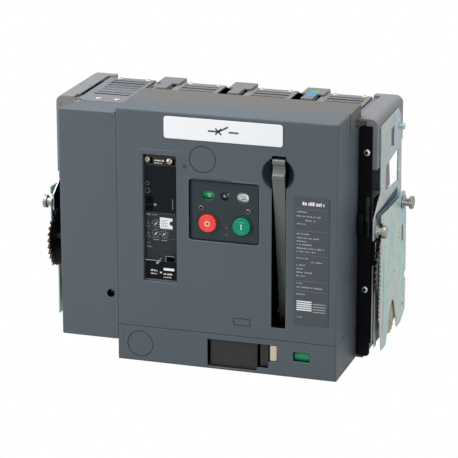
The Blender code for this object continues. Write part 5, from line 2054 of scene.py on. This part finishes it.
    def build(self) -> None:
        """Make the housing and what it holds."""
        self.shell()
        self.tabs()
        self.deck()
        self.rear_screws()
        for index, pole in enumerate(POLES, 1):
            self.chute(index, pole)
            self.quenching(index, pole)


# ---------------------------------------------------------------- current path


@dataclass
class Conductors:
    """The stabs, the moving contacts and the sprung finger clusters on the stabs' ends."""

    fingers: int = 8
    half_width: float = 27.0 * MM
    finger_width: float = 5.4 * MM
    reach: Pair = mm(132.0, 172.5)
    spring_y: Pair = mm(142, 162)
    spring_half: float = 15.2 * MM
    wire: float = 0.9 * MM
    levels: tuple[Pair, ...] = (mm(239, 251), mm(89, 101))

    def stabs(self) -> None:
        """The copper bars and the moving contacts."""
        for index in range(1, 5):
            for node in (f"upper_stab_{index}", f"lower_stab_{index}"):
                refined(node, COPPER, 0.7 * MM)
            refined(f"moving_contact_{index}", COPPER, 0.5 * MM)

    def finger(self, height: float) -> np.ndarray:
        """The side outline of one finger above a bar whose face is at a height.

        Its foot touches the bar at both ends through two half waves, and its back is a flatter arc.
        """
        t = np.linspace(0, 1, 25)
        y = self.reach[0] + (self.reach[1] - self.reach[0]) * t
        foot = height + 0.15 * MM + 2.4 * MM * np.sin(math.pi * t).clip(0) ** 0.7
        back = height + 4.6 * MM + 3.0 * MM * np.sin(math.pi * t)
        lower = np.stack([y, foot], axis=-1)
        upper = np.stack([y, back], axis=-1)
        return np.concatenate([lower, upper[::-1]])

    def cluster(self, name: str, pole: float, level: Pair) -> None:
        """One cluster: fingers above and below the bar, and two spring wires round them.

        Args:
            name: The cluster's name.
            pole: The pole's middle.
            level: Lowest and highest face of the bar.
        """
        above = self.finger(level[1])
        below = above * (1, -1) + (0, level[0] + level[1])
        bars = []
        for x in np.linspace(-self.half_width, self.half_width, self.fingers):
            ends = (pole + x - self.finger_width / 2, pole + x + self.finger_width / 2)
            bars.append(Shape.prism(above, Axis.X, ends, 0.4 * MM, 2))
            bars.append(Shape.prism(below, Axis.X, ends, 0.4 * MM, 2))
        total(bars).make(f"{name}_fingers", SILVER)
        wires = []
        middle = (level[0] + level[1]) / 2
        half = self.half_width + 3.4 * MM
        t = np.linspace(0, 2 * math.pi, 10, endpoint=False)
        for y in self.spring_y:
            low, high = (pole - half, middle - self.spring_half), (pole + half, middle + self.spring_half)
            outline = rounded(low, high, 6 * MM, 8)
            rings = outline + inward(outline) * self.wire * np.cos(t)[:, None, None]
            along = y + self.wire * np.sin(t)
            wires.append(Shape.lofted(Axis.Y.place(rings, along[:, None]), wrapped=True))
        total(wires).make(f"{name}_springs", STEEL)

    def build(self) -> None:
        """Make the whole current path."""
        self.stabs()
        for index, pole in enumerate(POLES, 1):
            self.cluster(f"upper_cluster_{index}", pole, self.levels[0])
            self.cluster(f"lower_cluster_{index}", pole, self.levels[1])
        dress(STEEL, "pole_shaft")


# ---------------------------------------------------------------- sides


class Side(Enum):
    """The two ends of the breaker."""

    LEFT = -1
    RIGHT = 1

    @property
    def word(self) -> str:
        """The side's name in a piece's name."""
        return self.name.lower()

    def turn(self, shape: Shape) -> Shape:
        """A shape drawn for the right-hand side, put on this side."""
        return shape if self is Side.RIGHT else shape.mirrored()


@dataclass
class SideMetalwork:
    """One end's flange, cap, plates, rollers, rack and screws, drawn for the right-hand side."""

    side: Side
    flange_screws: tuple[float, ...] = mm(319, 109)
    bump: Triple = mm(226.5, 209.5, 18.5)
    plate_face: float = 252.5 * MM
    racking_face: float = 260.5 * MM

    def add(self, shape: Shape, name: str, finish: Finish, body: str = BREAKER) -> None:
        """Put a shape on this side under the side's own name."""
        self.side.turn(shape).make(f"{name}_{self.side.word}", finish, body)

    def plates(self) -> None:
        """The CAD's sheets with their cut edges softened."""
        word = self.side.word
        refined(f"mounting_flange_{word}", BLACK_STEEL, 0.5 * MM)
        refined(f"side_cap_{word}", CAP_GREY, 1.0 * MM)
        refined(f"side_plate_{word}", ZINC_INNER, 0.3 * MM)
        refined(f"racking_plate_{word}", ZINC, 0.3 * MM)
        for place in ("front", "rear"):
            refined(f"roller_{place}_{word}", ROLLER_STEEL, 0.4 * MM)
        seam = Shape.slabs([mm(221.5, 14.8, 369.6)], [mm(239.0, 15.6, 370.06)])
        seam += Shape.slabs([mm(249.6, 14.8, 304.0)], [mm(250.06, 15.6, 358.5)])
        self.add(seam, "cap_seam", PRINT_DARK)

    def flange_detail(self) -> None:
        """The flange's screws, the bump over the pole shaft's end and the strip beside it."""
        places = [(234.0 * MM, z) for z in self.flange_screws]
        heads, recesses = screws(places, Axis.Y, -54.0 * MM, -1, 5.2 * MM, 3.0 * MM)
        self.add(heads, "flange_screws", BRIGHT_STEEL)
        # The black recesses are painted shade in the screws' heads.
        self.add(recesses, "flange_screw_recesses", BLACK_VOID)
        x, z, tall = self.bump
        t = np.linspace(-math.pi / 2, math.pi / 2, 25)
        outline = np.stack([-54.4 * MM - 8.6 * MM * np.cos(t) ** 0.6, z + tall * np.sin(t)], axis=-1)
        self.add(
            Shape.prism(outline, Axis.X, (x - 4.6 * MM, x + 5.0 * MM), 1.4 * MM),
            "shaft_end_bump",
            BLACK_STEEL,
        )
        if self.side is Side.LEFT:
            return
        strip = Shape.block(mm(234.5, -57.0, 214), mm(239.5, -54.2, 252), 0.8 * MM)
        self.add(strip, "flange_guide_strip", PANEL_SLATE)
        curl = np.linspace(0, 1, 16)
        path = np.stack(
            [
                np.full(16, 238.5 * MM),
                -58.5 * MM + 3.2 * MM * np.sin(math.pi * curl),
                (238.0 - 46.0 * curl) * MM,
            ],
            axis=-1,
        )
        self.add(Shape.tube(path, 1.7 * MM, 12), "flange_hook", HOUSING_BLACK)

    def plate_detail(self) -> None:
        """The stud, the rivets, the holes in painted shade and the folds of the plates."""
        base = self.plate_face
        profile = [
            (base - 0.2 * MM, 3.6 * MM),
            (base + 3.4 * MM, 3.6 * MM),
            (base + 3.6 * MM, 5.2 * MM),
            (base + 6.0 * MM, 5.0 * MM),
            (base + 6.6 * MM, 4.2 * MM),
            (base + 6.7 * MM, 0.6 * MM),
        ]
        self.add(Shape.lathe(profile, Axis.X, mm(74.5, 328.7), 32), "side_stud", ZINC)
        spots = [(-33.0, 345.0), (62.0, 340.0), (-30.0, 262.0), (70.0, 262.0)]
        rivets = []
        for y, z in spots:
            rows = [
                (base - 0.2 * MM, 3.2 * MM),
                (base + 0.5 * MM, 3.0 * MM),
                (base + 0.9 * MM, 2.0 * MM),
                (base + 1.0 * MM, 0.3 * MM),
            ]
            rivets.append(Shape.lathe(rows, Axis.X, (y * MM, z * MM), 20))
        self.add(total(rivets), "side_rivets", ZINC)
        outer = self.racking_face
        # Thin navy discs and a slot where the plate has holes: painted shade inside the holes.
        holes = []
        for y, z, radius in (
            (48.0, 162.0, 1.7),
            (18.0, 118.0, 1.6),
            (-38.0, 172.0, 1.5),
            (77.0, 47.0, 3.0),
            (79.0, 62.0, 1.6),
        ):
            holes.append(
                Shape.prism(
                    circle((y * MM, z * MM), radius * MM, 24), Axis.X, (outer - 0.1 * MM, outer + 0.06 * MM)
                )
            )
        slot = rounded(mm(61.0, 152.0), mm(71.0, 177.0), 2.0 * MM)
        holes.append(Shape.prism(slot, Axis.X, (outer - 0.1 * MM, outer + 0.06 * MM)))
        self.add(total(holes), "racking_plate_holes", NAVY_STEEL)
        foot = 40.0 * MM if self.side is Side.RIGHT else 104.0 * MM
        rib = rounded((-47.0 * MM, foot), mm(-44.4, 166.0), 1.2 * MM)
        fold = Shape.prism(rib, Axis.X, (outer - 0.1 * MM, outer + 0.7 * MM), 0.6 * MM)
        lip = rounded(mm(36.0, 149.0), mm(88.0, 150.4), 0.6 * MM)
        fold += Shape.prism(lip, Axis.X, (outer - 0.1 * MM, outer + 0.5 * MM), 0.4 * MM)
        self.add(fold, "racking_plate_folds", ZINC)

    def rack(self) -> None:
        """The gear's dark backing, and on the right the rack, its rails and the painted shade of the plate's gap."""
        low = 24 * MM if self.side is Side.RIGHT else 112 * MM
        filler = Shape.block((233.0 * MM, -50.4 * MM, low), mm(249.8, 74, 186), 0.8 * MM)
        filler += Shape.block(mm(243.0, -50.4, 186.5), mm(249.8, -16, 248), 0.8 * MM)
        self.add(filler, "racking_backing", BLACK_STEEL)
        if self.side is Side.LEFT:
            arm = np.array(
                [[-71.5, 193.5], [-71.5, 217.6], [-41.0, 236.6], [-20.0, 236.6], [-20.0, 193.5]]
            ) * MM
            self.add(Shape.prism(arm, Axis.X, mm(249.9, 250.45), 0.2 * MM), "roller_arm", BLACK_STEEL)
            return
        # A navy strip on the side plate above the racking plate's edge: painted shade and painted dark reflection of
        # the fold.
        shade = np.array(
            [[-66.0, 222.0], [-62.0, 227.6], [52.0, 224.6], [63.0, 230.6], [60.0, 238.0], [-72.0, 229.5]]
        ) * MM
        self.add(Shape.prism(shade, Axis.X, mm(252.4, 253.0)), "plate_gap_film", NAVY_STEEL)
        teeth = []
        for z in np.arange(66.0, 184.0, 7.0) * MM:
            t = np.linspace(0, math.pi, 10)
            outline = np.stack([-63.8 * MM - 2.6 * MM * np.sin(t), z + 4.8 * MM * t / math.pi], axis=-1)
            outline = np.concatenate([outline, [[-61.6 * MM, z + 4.8 * MM], [-61.6 * MM, z]]])
            teeth.append(Shape.prism(outline, Axis.X, mm(257.9, 260.9), 0.4 * MM, 2))
        back = Shape.block(mm(258.0, -64.2, 62), mm(260.8, -61.8, 186), 0.4 * MM)
        self.add(total(teeth) + back, "racking_rack", ZINC_INNER)
        rails = Shape.block(mm(247.4, -66.0, 30), mm(248.8, -52.0, 150), 0.4 * MM)
        rails += Shape.block(mm(250.4, -62.0, 22), mm(251.6, -50.0, 186), 0.4 * MM)
        self.add(rails, "racking_rails", ZINC_INNER)

    def build(self) -> None:
        """Make the whole side."""
        self.plates()
        self.flange_detail()
        self.plate_detail()
        self.rack()


@dataclass
class RackingDrive:
    """The cross shaft with its two gears, and the interlock cams."""

    def build(self) -> None:
        """Dress the drive's gears and add their hubs and nuts."""
        for side in Side:
            refined(f"racking_gear_{side.word}", GEAR_BLACK, 0.35 * MM)
            refined(f"interlock_cam_{side.word}", BRASS, 0.3 * MM)
            gear_low, gear_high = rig.box(f"racking_gear_{side.word}")
            out = max(abs(gear_low.x), abs(gear_high.x))
            centre = ((gear_low.y + gear_high.y) / 2, (gear_low.z + gear_high.z) / 2)
            rows = [
                (out - 0.1 * MM, 8.0 * MM),
                (out + 0.5 * MM, 7.6 * MM),
                (out + 0.7 * MM, 5.0 * MM),
                (out + 0.7 * MM, 0.5 * MM),
            ]
            hub = Shape.lathe(rows, Axis.X, centre, 6)
            side.turn(hub).make(f"racking_gear_nut_{side.word}", STEEL, "racking_drive")
        dress(STEEL, "racking_shaft")


# ---------------------------------------------------------------- studio


@dataclass
class Studio:
    """Floor, light and camera."""

    eye: Triple = (1.0790, -3.3743, 1.2557)
    lens: float = 191.4
    sensor: float = 36.0
    right: Triple = (0.953, 0.303, -0.0003)
    up: Triple = (-0.0889, 0.2805, 0.9557)
    floor_half: float = 30.0
    floor_shine: float = 0.60
    horizon: float = 0.38
    zenith: float = 1.35
    aim: Triple = (0.0, 0.0, 0.19)
    glint: str = "glint"
    lamps: tuple[tuple[str, Triple, Pair, float], ...] = (
        ("overhead", (-0.7, -0.2, 2.1), (1.4, 1.4), 20),
        ("front_left", (-1.35, -1.05, 0.85), (0.7, 1.0), 13),
        ("right_strip", (2.6, 0.9, 0.8), (0.5, 1.6), 6),
        ("glint", (1.41, -1.95, 0.50), (0.45, 0.45), 9),
    )

    def floor(self) -> None:
        """A large pale floor."""
        t = np.linspace(-self.floor_half, self.floor_half, 3)
        x, y = np.meshgrid(t, t, indexing="ij")
        points = np.stack([x, y, np.full(x.shape, -0.0005)], axis=-1).reshape(-1, 3)
        faces = [
            [3 * i + j, 3 * i + j + 3, 3 * i + j + 4, 3 * i + j + 1]
            for i in range(2) for j in range(2)
        ]
        plane = Shape(points, faces).object("floor")
        plane.data.materials.append(FLOOR.material())
        tree = Tree(plane.data.materials[0].node_tree)
        path = tree.add("LightPath").outputs
        output = tree.tree.nodes["Material Output"].inputs["Surface"]
        shaded = tree.tree.nodes["Principled BSDF"].outputs[0]
        for ray, strength in (("Is Glossy Ray", self.floor_shine), ("Is Camera Ray", 1.0)):
            glow = tree.add("Emission", {"Strength": strength})
            shaded = tree.add("MixShader", {0: path[ray], 1: shaded, 2: glow.outputs[0]}).outputs[0]
        tree.tree.links.new(shaded, output)
        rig.stage(plane)

    def sky(self) -> None:
        """A white backdrop, and a soft light that grows from the horizon to overhead.

        The strength goes in a straight line from horizon to zenith with the ray's height.
        """
        world = bpy.data.worlds.new("studio")
        bpy.context.scene.world = world
        world.use_nodes = True
        tree = Tree(world.node_tree)
        world.node_tree.nodes.clear()
        where = tree.add("TexCoord").outputs["Generated"]
        height = tree.add("SeparateXYZ", {0: where}).outputs["Z"]
        strength = tree.spread(height, (-0.1, 0.9), (self.horizon, self.zenith))
        light = tree.add("Background", {"Color": (1.0, 1.0, 1.0, 1.0), "Strength": strength})
        backdrop = tree.add("Background", {"Color": (1.0, 1.0, 1.0, 1.0), "Strength": 1.0})
        seen = tree.add("LightPath").outputs["Is Camera Ray"]
        mixed = tree.add("MixShader", {0: seen, 1: light.outputs[0], 2: backdrop.outputs[0]})
        tree.add("OutputWorld", {"Surface": mixed.outputs[0]})

    def lamp(self, name: str, at: Triple, size: Pair, power: float) -> None:
        """A soft rectangular light on the breaker's middle. The glint only shows in gloss."""
        data = bpy.data.lights.new(name, "AREA")
        data.shape = "RECTANGLE"
        data.size, data.size_y = size
        data.energy = power
        obj = bpy.data.objects.new(name, data)
        bpy.context.scene.collection.objects.link(obj)
        obj.location = at
        aim = Vector(self.aim) - Vector(at)
        obj.rotation_euler = aim.to_track_quat("-Z", "Y").to_euler()
        if name == self.glint:
            obj.visible_diffuse = False

    def camera(self) -> None:
        """The camera, placed by its three axes."""
        data = bpy.data.cameras.new("camera")
        data.lens, data.sensor_width = self.lens, self.sensor
        obj = bpy.data.objects.new("camera", data)
        bpy.context.scene.collection.objects.link(obj)
        right = Vector(self.right).normalized()
        back = right.cross(Vector(self.up)).normalized()
        up = back.cross(right)
        matrix = Matrix((right, up, back)).transposed().to_4x4()
        matrix.translation = Vector(self.eye)
        obj.matrix_world = matrix
        bpy.context.scene.camera = obj

    def build(self) -> None:
        """Make the whole studio."""
        self.floor()
        self.sky()
        for row in self.lamps:
            self.lamp(*row)
        self.camera()
        view = bpy.context.scene.view_settings
        view.view_transform = "Standard"
        view.look = "None"


def dress_the_rest() -> None:
    """Give every CAD node that still shows without a finish one of its own slot."""
    by_slot = {
        "grey_moulding": COVER_GREY,
        "black_moulding": HOUSING_BLACK,
        "steel": STEEL,
        "brass": BRASS,
        "copper": COPPER,
        "zinc": ZINC_INNER,
        "black_steel": BLACK_STEEL,
    }
    slots = {row["node"]: row["material_slot"] for row in frame["record"]["subparts"]}
    for name, obj in frame["nodes"].items():
        if not obj.hide_render and not any(m and m.name in KNOWN for m in obj.data.materials):
            dress(by_slot.get(slots.get(name), HOUSING_BLACK), name)
            LOG.info("%s keeps its shape", name)


def main() -> None:
    """Build every sub-assembly, then the studio, and write down both boxes."""
    parts = (
        FrontCovers(),
        Plates(),
        ControlPanel(),
        TripUnit(),
        ChargingGear(),
        RackingStrip(),
        PoleHousing(),
        Conductors(),
        SideMetalwork(Side.LEFT),
        SideMetalwork(Side.RIGHT),
        RackingDrive(),
    )
    for part in parts:
        LOG.info("building %s", type(part).__name__)
        part.build()
    dress_the_rest()
    Studio().build()
    sizes = {
        "cad": [list(corner) for corner in CAD_BOX], "visual": [list(corner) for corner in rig.bounds()]
    }
    with open("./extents.json", "w") as file:
        json.dump(sizes, file)


if __name__ == "__main__":
    main()
